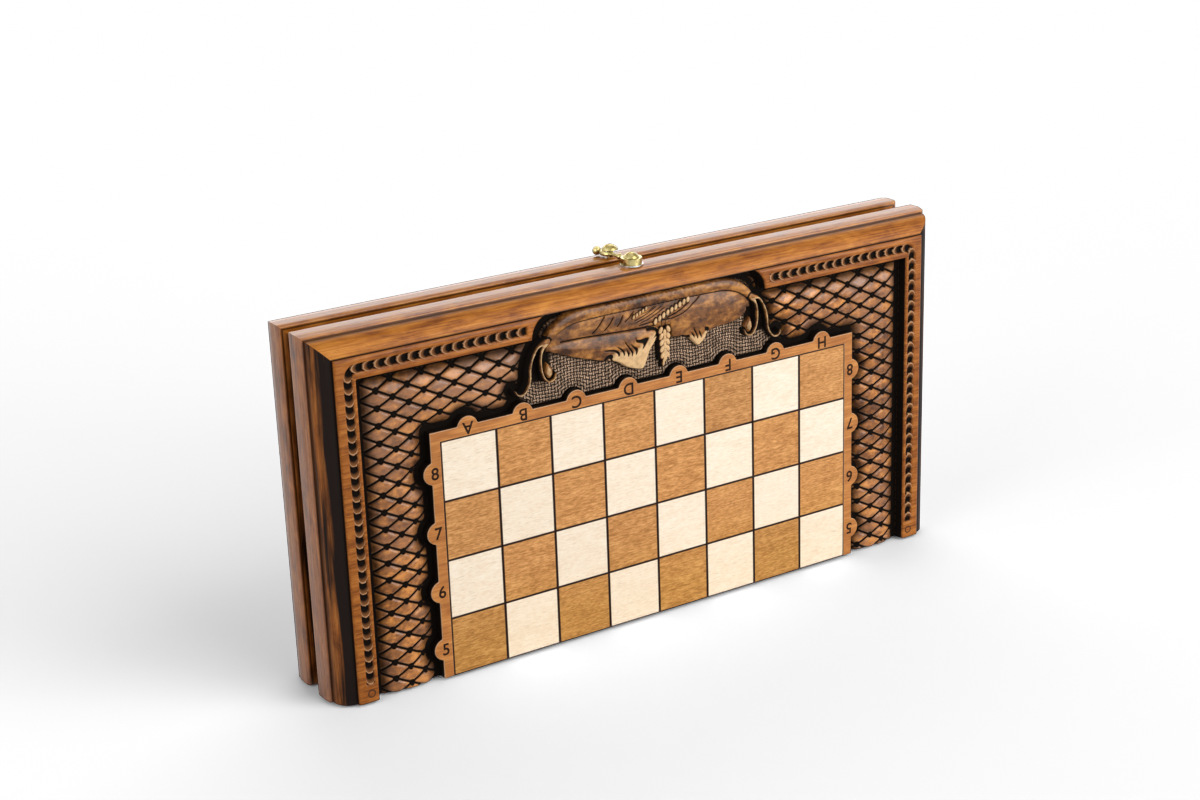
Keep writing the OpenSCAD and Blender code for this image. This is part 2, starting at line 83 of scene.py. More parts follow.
STRIP_W = 14.8
FIELD_CROWN = 3.0
FIELD_FOOT = 6.6
FIELD_ROUND = 15
MOAT_DEPTH = 8
MOAT_W = 5
STRIP_MOAT_W = 5.5
TOP_MOAT_W = 3.6
CREST_MOAT_W = 5
GROUND_DEPTH = 6.0
FACE_UNDER_BOARD = 4

CREST_TOP = crest_high.z / MM - WOOD_Z
CREST_HALF_W = 85
STRIP_GAP = 8.5
SPRING_Z = BOARD_TOP + 37
CREST_RISE = CREST_TOP - SPRING_Z

RIM_E = rim_high.x / MM - HALF_W
RIM_BACK = rim_high.y / MM - FACE_Y
RIM_IN = 7
STEP_DEPTH = 3
QUARTER_R = 11.5
LEDGE_W = 2
LEDGE_DEPTH = 0.9
RIM_SLOPE = 7
RIM_FLAT = 8.7

HALVES = ("front", "back")


def place(x, depth, height):
    """Points of the front half in the row frame, in metres"""
    x, depth, height = np.broadcast_arrays(x, depth, height)
    return np.stack([x, FACE_Y + depth, WOOD_Z + height], axis=-1).astype(float) * MM


# --- small tools ---

FAR = 1e9
TINY = 1e-9


def unit(value):
    """Value held between 0 and 1"""
    return np.clip(value, 0, 1)


def smoothstep(edge0, edge1, value):
    t = unit((value - edge0) / (edge1 - edge0))
    return t * t * (3 - 2 * t)


def mix(a, b, share):
    return a + (b - a) * share


def box_distance(x, z, low, high):
    """Signed distance to an upright rectangle, negative inside"""
    dx = np.abs(x - (low[0] + high[0]) / 2) - (high[0] - low[0]) / 2
    dz = np.abs(z - (low[1] + high[1]) / 2) - (high[1] - low[1]) / 2
    return np.hypot(np.maximum(dx, 0), np.maximum(dz, 0)) + np.minimum(np.maximum(dx, dz), 0)


def smooth_min(a, b, reach):
    h = unit(0.5 + 0.5 * (b - a) / reach)
    return b + (a - b) * h - reach * h * (1 - h)


def spline(points, steps=14, closed=False):
    """Smooth line through points of any number of columns"""
    p = np.array(points, float)
    if closed:
        p = np.vstack([p[-1], p, p[0], p[1]])
    else:
        p = np.vstack([2 * p[0] - p[1], p, 2 * p[-1] - p[-2]])
    t = np.linspace(0, 1, steps, endpoint=False)[:, None]
    runs = []
    for a, b, c, d in zip(p, p[1:], p[2:], p[3:]):
        runs.append(0.5 * (2 * b + (c - a) * t + (2 * a - 5 * b + 4 * c - d) * t**2
                           + (3 * b - a - 3 * c + d) * t**3))
    line = np.vstack(runs)
    return line if closed else np.vstack([line, p[-2]])


def line_reach(x, z, points):
    """Room inside a tapering line: its half width less the distance to it. Points are (x, z, half width)"""
    return reduce(np.maximum, (half_w - np.hypot(x - px, z - pz) for px, pz, half_w in spline(points)))


def segment_distance(x, z, start, end):
    """Distance to a straight piece of a line"""
    (ax, az), (bx, bz) = start, end
    run = (bx - ax) ** 2 + (bz - az) ** 2 + TINY
    t = unit(((x - ax) * (bx - ax) + (z - az) * (bz - az)) / run)
    return np.hypot(x - ax - t * (bx - ax), z - az - t * (bz - az))


def groove(x, z, points, half_w):
    """1 along the middle of an engraved line, 0 beside it"""
    path = spline(points, steps=10)
    nearest = reduce(np.minimum, (segment_distance(x, z, a, b) for a, b in zip(path, path[1:])))
    return unit(1 - nearest / half_w)


def outline_reach(x, z, points):
    """Distance inside a closed smooth outline, negative outside"""
    path = spline(points, steps=8, closed=True)
    nearest = np.full(x.shape, FAR)
    inside = np.zeros(x.shape, bool)
    for (ax, az), (bx, bz) in zip(path, np.roll(path, -1, axis=0)):
        nearest = np.minimum(nearest, segment_distance(x, z, (ax, az), (bx, bz)))
        crosses = (az > z) != (bz > z)
        side = (bx - ax) * (z - az) / (bz - az if abs(bz - az) > TINY else TINY) + ax
        inside ^= crosses & (x < side)
    return np.where(inside, nearest, -nearest)


def ripple(x, z, pitch, seed):
    """Soft uneven waves between -1 and 1, the same on each run"""
    turns = np.random.default_rng(seed).uniform(0, 2 * math.pi, (6, 2))
    total = 0
    for angle, phase in turns:
        way = 2 * math.pi * (x * math.cos(angle) + z * math.sin(angle)) / pitch
        total = total + np.sin(way * (0.7 + 0.1 * phase) + phase)
    return total / len(turns)


def cell_noise(a, b, seed):
    """A number from 0 to 1 for each pair of whole numbers, the same on each run"""
    wave = np.sin(a * 12.9898 + b * 78.233 + seed * 37.719) * 43758.5453
    return wave - np.floor(wave)


# --- meshes ---


def add_piece(name, mesh, half, replaced, material):
    """Puts a mesh drawn for the front half on its half, in place of the CAD nodes given"""
    if half == "back":
        mesh.transform(Matrix.Rotation(math.pi, 4, "Z"))
    mesh.materials.append(material)
    piece = add_object(name, mesh)
    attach(piece, half + "_half")
    if replaced:
        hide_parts(*replaced)


def add_object(name, data):
    thing = bpy.data.objects.new(name, data)
    bpy.context.scene.collection.objects.link(thing)
    return thing


def mesh_from(name, points, faces, smooth, attributes=None):
    mesh = bpy.data.meshes.new(name)
    mesh.from_pydata(points.tolist(), [], faces)
    mesh.polygons.foreach_set("use_smooth", smooth)
    for key, values in (attributes or {}).items():
        mesh.attributes.new(key, "FLOAT", "POINT").data.foreach_set("value", values.astype(np.float32))
    mesh.update()
    return mesh


def grid_lines(*runs):
    """Grid lines over joined runs of (start, end, spacing)"""
    parts = [np.linspace(a, b, round((b - a) / step), endpoint=False) for a, b, step in runs]
    return np.append(np.concatenate(parts), runs[-1][1])


def mirrored(lines):
    """Grid lines from 0 upward and their mirror image below"""
    return np.concatenate([-lines[:0:-1], lines])


def without_pinches(keep):
    """Fills cells so that no two kept cells touch at a corner alone"""
    while True:
        a, b = keep[:-1, :-1], keep[1:, 1:]
        c, d = keep[1:, :-1], keep[:-1, 1:]
        rising, falling = a & b & ~c & ~d, c & d & ~a & ~b
        if not (rising.any() or falling.any()):
            return keep
        keep[1:, :-1] |= rising
        keep[:-1, :-1] |= falling


def closed_loops(following):
    """Loops of points, from a table that says which point follows each"""
    loops = []
    while following:
        start, step = following.popitem()
        loop = [start]
        while step != start:
            loop.append(step)
            step = following.pop(step)
        loops.append(loop)
    return loops


def closed_relief(name, x, z, depth, keep, back, attributes):
    """Closed solid under a relief on a grid: kept cells in front, walls round them and a flat back"""
    keep = without_pinches(keep)
    index = np.arange(x.size).reshape(x.shape)
    corners = [index[:-1, :-1], index[:-1, 1:], index[1:, 1:], index[1:, :-1]]
    quads = np.stack([c[keep] for c in corners], axis=-1)
    edges = np.concatenate([quads[:, [i, (i + 1) % 4]] for i in range(4)])
    forward, backward = edges @ (x.size, 1), edges @ (1, x.size)
    rim = edges[~np.isin(forward, backward)]
    used, rim_points = np.unique(quads), np.unique(rim)
    renumber = np.full(x.size, -1)
    renumber[used] = np.arange(used.size)
    foot = {point: used.size + order for order, point in enumerate(rim_points)}
    points = place(x.flat[used], depth.flat[used], z.flat[used])
    below = place(x.flat[rim_points], back, z.flat[rim_points])
    faces = renumber[quads].tolist()
    smooth = [True] * len(faces)
    faces += [[renumber[b], renumber[a], foot[a], foot[b]] for a, b in rim.tolist()]
    loops = closed_loops(dict(rim.tolist()))
    flat = sum(loops, [])
    outlines = [[Vector((x.flat[p], z.flat[p], 0)) for p in loop] for loop in loops]
    for a, b, c in tessellate_polygon(outlines):
        corner = [flat[a], flat[b], flat[c]]
        (ax, az), (bx, bz), (cx, cz) = [(x.flat[p], z.flat[p]) for p in corner]
        turn = (bx - ax) * (cz - az) - (bz - az) * (cx - ax)
        faces.append([foot[p] for p in (corner if turn < 0 else corner[::-1])])
    smooth += [False] * (len(faces) - len(smooth))
    order = np.concatenate([used, rim_points])
    values = {key: data.flat[order] for key, data in attributes.items()}
    return mesh_from(name, np.vstack([points, below]), faces, smooth, values)


# --- carved face ---


def board_distance(x, z):
    """Distance outside the board panel's outline with its half-round tabs"""
    distance = box_distance(x, z, (-BOARD_EDGE, -BOARD_H), (BOARD_EDGE, BOARD_TOP))
    middles = [np.hypot(x - tab_x, z - BOARD_TOP + TAB_INSET) for tab_x in FILE_X]
    middles += [np.hypot(np.abs(x) - BOARD_EDGE + TAB_INSET, z - tab_z) for tab_z in RANK_Z]
    for middle in middles:
        distance = smooth_min(distance, middle - TAB_R, TAB_FILLET)
    return distance


def arch_reach(x, z, grow):
    """Distance inside the crest's flattened arch grown by a margin, negative outside"""
    half_w, rise = CREST_HALF_W + grow, CREST_RISE + grow
    across, above = np.abs(x) / half_w, np.clip(z - SPRING_Z, 0, None) / rise
    ratio = np.maximum((across**4 + above**4) ** 0.25, 1e-6)
    slope = np.hypot(across**3 / half_w, above**3 / rise) / ratio**3
    return (1 - ratio) / np.maximum(slope, 1 / half_w)


def strip_rooms(x, z):
    """Distance inside the border strips' inner edge at the sides, at the top and past the crest"""
    return HALF_W - STRIP_W - np.abs(x), PANEL_H - STRIP_W - z, arch_reach(x, z, STRIP_GAP)


CHAIN_X = 225
CHAIN_Z = 224.8
CHAIN_START = 12
CHAIN_END = 97
CHAIN_CORNER = 6.5
CHAIN_PITCH = 7.8
CHAIN_HALF_W = 3.1
CHAIN_DEPTH = 2.2
CHAIN_CURVE = 1.25


def chain_place(x, z):
    """Way along the chain in units, distance from its line, and where there is any

    The chain runs up the right strip, over the top and down the left.
    """
    centre_x, centre_z = CHAIN_X - CHAIN_CORNER, CHAIN_Z - CHAIN_CORNER
    side_run = centre_z - CHAIN_START
    top_start = side_run + CHAIN_CORNER * math.pi / 2
    run = top_start + centre_x - CHAIN_END
    way = side_run + np.arctan2(z - centre_z, np.abs(x) - centre_x) * CHAIN_CORNER
    off = np.hypot(np.abs(x) - centre_x, z - centre_z) - CHAIN_CORNER
    on_top = np.abs(x) < centre_x
    way = np.where(on_top, top_start + centre_x - np.abs(x), way)
    off = np.where(on_top, z - CHAIN_Z, off)
    on_side = z < centre_z
    way = np.where(on_side, z - CHAIN_START, way)
    off = np.where(on_side, np.abs(x) - CHAIN_X, off)
    units = round(run / CHAIN_PITCH)
    there = (way > 0) & (way < run)
    return np.where(x > 0, way, 2 * run - way) * units / run, off, there.astype(float)


def chain_cut(way, off, there):
    """Depth of the crescent chain cut into the border strips"""
    ratio = unit(np.abs(off) / CHAIN_HALF_W)
    phase = (way + CHAIN_CURVE * CHAIN_HALF_W / CHAIN_PITCH * (1 - np.sqrt(1 - 0.98 * ratio**2))) % 1.0
    slope = unit(1 - phase / 0.85) ** 0.7 * smoothstep(1, 0.94, phase)
    inside = smoothstep(CHAIN_HALF_W + 0.3, CHAIN_HALF_W - 0.5, np.abs(off))
    return CHAIN_DEPTH * slope * inside * there


LATTICE_X = -194
LATTICE_Z = 49.7
LATTICE_HALF_X = 11
LATTICE_HALF_Z = 5.8
LATTICE_SPACING = 2 / math.hypot(1 / LATTICE_HALF_X, 1 / LATTICE_HALF_Z)
DOT_R = 2.35
WEAVE_PITCH = 2.5
RING_Z = 5.8
RING_R = 2.4


def lattice_cut(x, z):
    """Depth of the crossed grooves with pillowed scales between them, and a shade for each scale"""
    across, up = (x - LATTICE_X) / LATTICE_HALF_X, (z - LATTICE_Z) / LATTICE_HALF_Z
    a, b = (across + up) / 2, (across - up) / 2
    off = np.minimum(np.abs(a - np.round(a)), np.abs(b - np.round(b))) * LATTICE_SPACING
    cell_a, cell_b = np.floor(a), np.floor(b)
    lean_x, lean_z = cell_noise(cell_a, cell_b, 1) - 0.5, cell_noise(cell_a, cell_b, 2) - 0.5
    lean = 0.6 * (lean_x * (a - cell_a - 0.5) + lean_z * (b - cell_b - 0.5)) * smoothstep(0.3, 2, off)
    depth = 1.3 * (1 - smoothstep(0, 2.0, off)) ** 1.2 + lean
    return depth, cell_noise(cell_a, cell_b, 3)


def weave_place(x, z, board):
    """Rows and columns of the woven ground in millimetres; the rows bend with the board's outline"""
    near = np.exp(-np.clip(board - MOAT_W, 0, None) / 14)
    rows = mix(z, board + BOARD_TOP, 0.8 * near) + 1.6 * ripple(x, z, 46, 5)
    return rows, x + 1.3 * ripple(x, z, 40, 6)


def panel_relief(x, z):
    """Depth of the whole carved face, and the masks and places that its stain and painted shade follow"""
    board = board_distance(x, z)
    side_room, top_room, end_room = strip_rooms(x, z)
    strip = np.maximum(np.minimum(side_room, top_room), end_room)
    crest_room, frame_room = crest_outline(x, z)
    edge_room = np.minimum(side_room - STRIP_MOAT_W, np.maximum(top_room, end_room) - TOP_MOAT_W)
    room = np.minimum(np.minimum(board - MOAT_W, edge_room), -crest_room - CREST_MOAT_W)
    fall = (1 - unit(room / FIELD_ROUND)) ** 2.2
    lattice_depth, shade = lattice_cut(x, z)
    field = mix(FIELD_CROWN, FIELD_FOOT, fall) + lattice_depth + 0.12 * ripple(x, z, 23, 3)
    in_frame = smoothstep(-1, 1, frame_room)
    rows, columns = weave_place(x, z, board)
    ground_room = np.minimum(board - MOAT_W * 0.2, frame_room + 1.5)
    moat = 1 - smoothstep(-0.7, 0.7, np.where(frame_room > 0, ground_room, room))
    depth = mix(mix(field, GROUND_DEPTH, in_frame), MOAT_DEPTH, moat)
    on_strip = smoothstep(0.45, -0.45, strip)
    way, off, there = chain_place(x, z)
    outer = np.minimum(HALF_W - np.abs(x), PANEL_H - z)
    rounding = 0.7 * (1 - smoothstep(0, 1.1, np.minimum(-strip, outer)))
    strip_depth = chain_cut(way, off, there) + rounding + 0.05 * ripple(x, z, 12, 9) + 0.05
    depth = mix(depth, strip_depth, on_strip)
    # Painted shade, carried in the moat mask: black in the moats, darker on the field within 7 mm of them,
    # in the hollows between the crest's legs and just beside the crest.
    hollow = smoothstep(HOLLOW_X - 1, HOLLOW_X + 1, np.abs(x)) * smoothstep(HOLLOW_Z - 1, HOLLOW_Z + 1, z)
    beside_crest = smoothstep(2.2, 0.2, -crest_room)
    shadow = np.maximum(moat, 0.75 * smoothstep(7, 0, room) * (frame_room < 0))
    shadow = np.maximum(shadow, in_frame * np.maximum(hollow, 0.8 * beside_crest))
    masks = {
        "across": x, "up": z, "row": rows, "column": columns, "chain_way": way, "chain_off": off,
        "chain": there * on_strip, "strip": on_strip, "ground": in_frame * (1 - on_strip),
        "moat": shadow * (1 - on_strip), "shade": mix(shade, 0.5, np.maximum(on_strip, in_frame)),
    }
    return np.clip(depth, 0, MOAT_DEPTH + 1.5), masks


def carved_panel(half, material):
    """Carved face of a half, left out behind the chessboard"""
    across = mirrored(grid_lines((0, 105, 0.75), (105, 218, 0.85), (218, HALF_W, 0.65)))
    up = grid_lines((0, 168, 0.85), (168, PANEL_H, 0.7))
    x, z = np.meshgrid(across, up)
    depth, masks = panel_relief(x, z)
    cell_x, cell_z = (x[:-1, :-1] + x[1:, 1:]) / 2, (z[:-1, :-1] + z[1:, 1:]) / 2
    keep = (np.abs(cell_x) > BOARD_HALF - FACE_UNDER_BOARD) | (cell_z > BOARD_H - FACE_UNDER_BOARD)
    name = half + "_carved_panel"
    mesh = closed_relief(name, x, z, depth, keep, PANEL_T, masks)
    add_piece(name, mesh, half, [half + "_face_panel"], material)


# --- crest ---

# Ribbons, as (x, height, half width), drawn for the right-hand side and mirrored.
ARCH_LINE = [(0, 227.2, 4.0), (45, 227.0, 4.0), (61, 226.2, 4.1), (70.5, 223.4, 3.8), (77, 219.3, 3.4),
             (82, 214.3, 2.6)]
LEG_LINE = [(82, 214.3, 2.6), (89, 211.6, 1.3), (93.5, 204.5, 1.2), (95.4, 197.5, 1.2), (95.8, 191, 1.2),
            (97.8, 185.8, 1.2), (101.3, 182.2, 1.2), (105.1, 182.4, 1.1), (107.3, 185.4, 0.9)]
SCROLL_LINE = [(82, 214.3, 2.6), (86, 208.6, 1.3), (87.2, 202, 1.2), (86.8, 195.8, 1.2), (85.2, 190.5, 1.2),
               (81.8, 187, 1.2), (77.8, 187.9, 1.2), (76, 191.6, 0.9)]
BALL_LINE = [(80.6, 190.8, 2.4), (80.7, 193.4, 3.3), (81.6, 198.2, 1.0)]
# Outlines of the two leaves and of their gilt tips, as (x, height), and the points that the
# cuts of the tips spread from.
LEFT_LEAF = [(-80.5, 208.6), (-78, 205.6), (-71.4, 203.2), (-60.6, 198.8), (-42.2, 192.9), (-32.3, 190.6),
             (-26, 188.2), (-19.8, 183.8), (-9.7, 180.4), (-5.8, 182.1), (-1.7, 191.3), (3.7, 199.2),
             (4.4, 207.4), (-16.5, 208.4), (-41.6, 209.7), (-54, 210.3), (-70, 210.9)]
RIGHT_LEAF = [(15.6, 211), (21, 220.7), (33, 222.9), (46, 223.8), (60.6, 221.7), (68.6, 219.4), (74, 215.8),
              (78, 211), (78.6, 205), (73, 200.4), (63.6, 198.2), (53, 197.5), (46.2, 195.4), (43.4, 191.4),
              (39.4, 188.2), (37.4, 187.8), (35.4, 189.6), (31.6, 193.8), (26.4, 197), (21, 197),
              (16.6, 199)]
LEFT_GILT = [(-32, 190.8), (-29.6, 193.1), (-23.3, 193.5), (-18.3, 191.9), (-13.2, 192), (-9.3, 194),
             (-4, 197.4), (3, 201.5), (4, 198), (-1.5, 190), (-5.5, 181), (-9.7, 179.4), (-20.5, 182.8)]
RIGHT_GILT = [(30.8, 195.2), (34.2, 194.8), (36.4, 193.4), (39, 193.8), (41.6, 193.4), (45.6, 196.6),
              (45, 191.4), (39.6, 187), (37.2, 186.6), (34.6, 189.4)]
LEFT_FAN = (-13, 168)
RIGHT_FAN = (38, 176)
EAR_X = 9.8
EAR_TOP = 204.6
EAR_GRAINS = 5
EAR_PITCH = 4.4
ARCH_PANEL_Z = 207
ARCH_INSET = 3
# Each row of beads: number, first middle, step, bend of the row, half sizes and angle of a bead.
BEAD_ROWS = [(9, (2.8, 211.6), (3.3, 1.55), -0.03, (2.9, 1.75), 74),
             (5, (-14.6, 217.9), (2.5, 1.05), 0, (1.9, 1.15), 70)]
WALL_SLOPE = 5.0
HOLLOW_X = 78
HOLLOW_Z = 187
# Inner side of the legs that frame the ground, as (height, x), and the part of the face round the crest.
FRAME_LEG = [(176, 99), (182, 103), (190, 95.5), (205, 93), (212, 86)]
CREST_REACH_X = 125
CREST_LOW_Z = 160


def crest_outline(x, z):
    """Room inside the crest's own outline, and inside the ground that its arch and legs frame"""
    room, frame_room = np.full(x.shape, -FAR), np.full(x.shape, -FAR)
    near = (np.abs(x) < CREST_REACH_X) & (z > CREST_LOW_Z)
    nx, nz = x[near], z[near]
    ax = np.abs(nx)
    arch = arch_reach(nx, nz, 0)
    inner = np.maximum(outline_reach(nx, nz, LEFT_LEAF), outline_reach(nx, nz, RIGHT_LEAF))
    over_arch = np.where(nz > SPRING_Z, arch, -20)
    room[near] = np.maximum.reduce([line_reach(ax, nz, LEG_LINE), line_reach(ax, nz, ARCH_LINE), inner,
                                    over_arch])
    leg_x = np.interp(nz, *zip(*FRAME_LEG))
    frame_room[near] = np.where(nz > SPRING_Z + 4, arch, leg_x - ax)
    return room, frame_room


def walled(room, height):
    """Height of a raised form whose wall drops steeply outside its edge"""
    return np.minimum(height, room * WALL_SLOPE + 1.2)


def leaf_height(room, base, crown):
    return walled(room, base + crown * (1 - np.exp(-np.clip(room, 0, None) / 4.5)))


def ellipse_room(x, z, middle, half_long, half_wide, angle):
    """1 in the middle of a turned ellipse, 0 on its edge and negative outside"""
    turn = math.radians(angle)
    along = (x - middle[0]) * math.cos(turn) + (z - middle[1]) * math.sin(turn)
    beside = (z - middle[1]) * math.cos(turn) - (x - middle[0]) * math.sin(turn)
    return 1 - np.hypot(along / half_long, beside / half_wide)


def bead_height(room, base, bulge):
    """Domed bead over a unit ellipse"""
    inside = unit(room)
    return np.where(room > -0.3, base + bulge * np.sqrt(1 - (1 - inside) ** 2) + np.minimum(room, 0) * 9, -9)


def flame(x, z, gilt_line, fan, spacing, reach, seed):
    """Tongues of gilding above a leaf's gilt tip, and the tapering cuts between them"""
    above = -outline_reach(x, z, gilt_line)
    angle = np.degrees(np.arctan2(z - fan[1], x - fan[0]))
    rays = (angle + 5 * np.sin(above * 0.4 + seed) + 4 * np.sin(angle * 0.11 + seed)) / spacing
    order = np.round(rays)
    length = reach * (0.35 + 0.9 * cell_noise(order, order * 0 + seed, 4))
    share = unit(above / length)
    half_w = 0.26 * np.sin(math.pi * unit(share + 0.12)) ** 0.8
    cut = smoothstep(half_w + 0.05, half_w * 0.5, np.abs(rays - order)) * (above > -0.6) * (share < 1)
    return cut, smoothstep(0.7, 0, share)


def beads(x, z):
    """Rooms of the wheat ear's grains and of the two rows of beads, in the order in which they overlap"""
    rooms = []
    for number, (first_x, first_z), (step_x, step_z), bend, half_sizes, angle in BEAD_ROWS:
        for bead in range(number):
            middle = (first_x + step_x * bead, first_z + step_z * bead + bend * bead**2)
            rooms.append(ellipse_room(x, z, middle, *half_sizes, angle))
    rooms.append(ellipse_room(x, z, (EAR_X - 1.4, 182), 3.4, 1.1, 84))
    for grain in reversed(range(EAR_GRAINS)):
        height = EAR_TOP - EAR_PITCH * grain
        spread = 3.1 - 0.28 * grain
        for side in (-1, 1):
            rooms.append(ellipse_room(x, z, (EAR_X + side * spread, height), 3.3, 2.0, 90 + side * 24))
        rooms.append(ellipse_room(x, z, (EAR_X, height - 2.2), 3.3, 1.9, 90))
    return rooms


# Half width, depth and line of each cut.
CREST_CUTS = [
    (1.0, 1.3, [(-71, 211.4), (-54, 211.0), (-41.6, 210.3), (-16.5, 209.0), (3, 208.4)]),
    (0.7, 0.9, [(-9.5, 210.8), (4, 211.4), (15, 211.0)]),
    (0.8, 0.8, [(13, 212.0), (22, 215.2), (30, 219.6)]),
    (0.7, 0.7, [(16, 210.8), (26, 213.6), (34, 218.4), (39, 222)]),
    (0.8, 0.9, [(-46.4, 212.4), (-42, 216), (-36.7, 222)]),
    (0.8, 0.9, [(-37, 212.8), (-33.5, 215.6), (-30, 220)]),
    (0.8, 0.9, [(-27, 213.5), (-24.6, 216), (-22.4, 219.8)]),
    (0.7, 0.8, [(-20.6, 215.6), (-17.4, 217.8), (-14, 221)]),
    (0.5, 0.5, [(-12, 213.2), (-2, 216.2), (8, 220.6)]),
    (0.5, 0.5, [(-13, 214.8), (-4, 217.6), (4, 221.4)]),
    (0.5, 0.5, [(-9, 212.2), (0, 214.6), (11, 219.6)]),
    (0.4, 0.4, [(-8, 218.2), (-2, 219.4), (3, 222)]),
    (0.5, 0.5, [(8.2, 211), (8.4, 206)]),
    (0.5, 0.5, [(11.4, 211), (11.2, 206)]),
]


def crest_leaves(x, z):
    """Leaves and arched panel with their cuts and gilt tips: height, room inside, dark cuts and gilding"""
    left, right = outline_reach(x, z, LEFT_LEAF), outline_reach(x, z, RIGHT_LEAF)
    panel = np.minimum(arch_reach(x, z, 0) - ARCH_INSET, (z - ARCH_PANEL_Z) * 3)
    panel = np.where(z > ARCH_PANEL_Z, panel, -9)
    height = np.maximum.reduce([leaf_height(left, 3.3, 1.2), leaf_height(right, 3.3, 1.4),
                                leaf_height(panel, 2.6, 1.0)])
    height = height + 0.12 * ripple(x, z, 17, 12)
    dark, gold = np.zeros(x.shape), np.zeros(x.shape)
    for half_w, deep, line in CREST_CUTS:
        cut = groove(x, z, line, half_w)
        height = height - deep * cut
        # The cuts are painted dark as shade.
        dark = np.maximum(dark, cut)
    for room, gilt_line, fan, spacing, reach, seed in (
        (left, LEFT_GILT, LEFT_FAN, 9, 8, 1), (right, RIGHT_GILT, RIGHT_FAN, 12, 6, 2),
    ):
        cut, gilt = flame(x, z, gilt_line, fan, spacing, reach, seed)
        here = smoothstep(-1.2, -0.4, room)
        height = height - cut * here
        # The cuts between the gilt tongues are painted dark as shade too.
        dark = np.maximum(dark, cut * here)
        gold = np.maximum(gold, gilt * here * (1 - cut))
    return height, np.maximum.reduce([left, right, panel]), dark, gold


def crest_ribbons(x, z, height, shape, dark, gold):
    """Lays the arched band, the legs, the scrolls and their balls over the leaves"""
    ax = np.abs(x)
    band = line_reach(ax, z, ARCH_LINE)
    band_edge = unit(1 - np.abs(band) / 0.75) * (arch_reach(x, z, 0) > ARCH_INSET)
    dome = 4.6 + 0.9 * np.sqrt(unit(band / 4.2))
    height = np.where(band > 0, np.maximum(height, walled(band, dome)), height)
    # The band's edges are painted dark as shade.
    dark = np.where(band > 0.4, 0, np.maximum(dark, band_edge))
    gold = np.where(band > 0, 0.25, gold)

    thin = np.maximum(line_reach(ax, z, LEG_LINE), line_reach(ax, z, SCROLL_LINE))
    ridge = 4.4 + 0.9 * np.sqrt(unit(thin / 1.3))
    height = np.maximum(height, walled(thin, ridge))
    on_thin = smoothstep(0.05, 0.5, thin) * (z < 213)
    gold = np.where(on_thin > 0.5, 0.8 * smoothstep(0.45, 0.9, thin), gold)
    # The sides and walls of the legs and scrolls are painted dark as shade.
    dark = np.maximum(dark * (1 - on_thin), 0.9 * smoothstep(0.75, 0.35, thin) * (thin > -1))

    ball = line_reach(ax, z, BALL_LINE)
    bulge = 3.4 * np.sqrt(unit(ball / 3.4))
    height = np.maximum(height, walled(ball, 1.6 + bulge))
    gold = np.maximum(gold, 0.75 * smoothstep(0.8, 2.0, ball))
    return height, np.maximum.reduce([shape, band, thin, ball]), dark, gold


def crest_beads(x, z, height, shape, dark, gold):
    """Lays the rows of beads and the wheat ear over the rest"""
    for bead in beads(x, z):
        top = bead_height(bead, 3.2, 2.0)
        proud = top > height
        shape = np.where(proud, np.maximum(shape, bead * 2), shape)
        # The rims of the beads and grains are painted dark as shade.
        dark = np.where(proud, smoothstep(0.34, 0.08, bead), dark)
        gold = np.where(proud, smoothstep(0.1, 0.45, bead), gold)
        height = np.maximum(height, top)
    return height, shape, dark, gold


def crest_relief(x, z):
    """Height of the crest above the ground, and the masks that its stain, gilt and painted shade follow"""
    height, shape, dark, gold = crest_beads(x, z, *crest_ribbons(x, z, *crest_leaves(x, z)))
    # The walls outside the crest's forms are painted dark as shade.
    dark = np.maximum(dark, smoothstep(0.15, -0.5, shape))
    return height, {"dark": dark, "gold": gold, "shade": 0.5 + 0.5 * ripple(x, z, 26, 21)}


def crest(half, material):
    """Carved crest of a half, whose back is sunk into the panel"""
    x, z = np.meshgrid(mirrored(grid_lines((0, 110, 0.36))), grid_lines((174, CREST_TOP, 0.36)))
    height, masks = crest_relief(x, z)
    depth = np.clip(GROUND_DEPTH - height, 0.2, PANEL_T - 2)
    lowest = np.maximum.reduce([depth[:-1, :-1], depth[1:, :-1], depth[:-1, 1:], depth[1:, 1:]])
    keep = lowest < PANEL_T - 2.5
    name = half + "_carved_crest"
    mesh = closed_relief(name, x, z, depth, keep, PANEL_T - 1.5, masks)
    add_piece(name, mesh, half, [half + "_crest"], material)


# --- chessboard ---


def arc(middle, radius, start, end, steps):
    """Points along an arc between two angles in degrees"""
    angles = np.radians(np.linspace(start, end, steps + 1))
    return [(middle[0] + radius * math.cos(a), middle[1] + radius * math.sin(a)) for a in angles]


def tab_arc(run_middle):
    """A half-round tab over a straight edge, with a small fillet at each foot, from left to right"""
    reach, rise = TAB_R + TAB_FILLET, TAB_FILLET + TAB_INSET
    foot_x = math.sqrt(reach**2 - rise**2)
    lean = math.degrees(math.asin(rise / reach))
    left = arc((run_middle - foot_x, TAB_FILLET), TAB_FILLET, 270, 360 - lean, 4)
    right = [(2 * run_middle - px, pz) for px, pz in reversed(left)]
    return left + arc((run_middle, -TAB_INSET), TAB_R, 180 - lean, lean, 22)[1:-1] + right


POCKET = [(-BOARD_HALF, 0), (-BOARD_HALF, BOARD_H), (BOARD_HALF, BOARD_H), (BOARD_HALF, 0)]


def board_loop():
    """Outline of the board panel, open at the fold, round the pocket for the squares"""
    right_side = [(BOARD_EDGE, 0)]
    for tab_z in RANK_Z:
        right_side += [(BOARD_EDGE + rise, run) for run, rise in tab_arc(tab_z)]
    right_side.append((BOARD_EDGE, BOARD_TOP))
    top_side = []
    for tab_x in reversed(FILE_X):
        top_side += [(run, BOARD_TOP + rise) for run, rise in reversed(tab_arc(tab_x))]
    left_side = [(-px, pz) for px, pz in reversed(right_side)]
    return right_side + top_side + left_side + POCKET


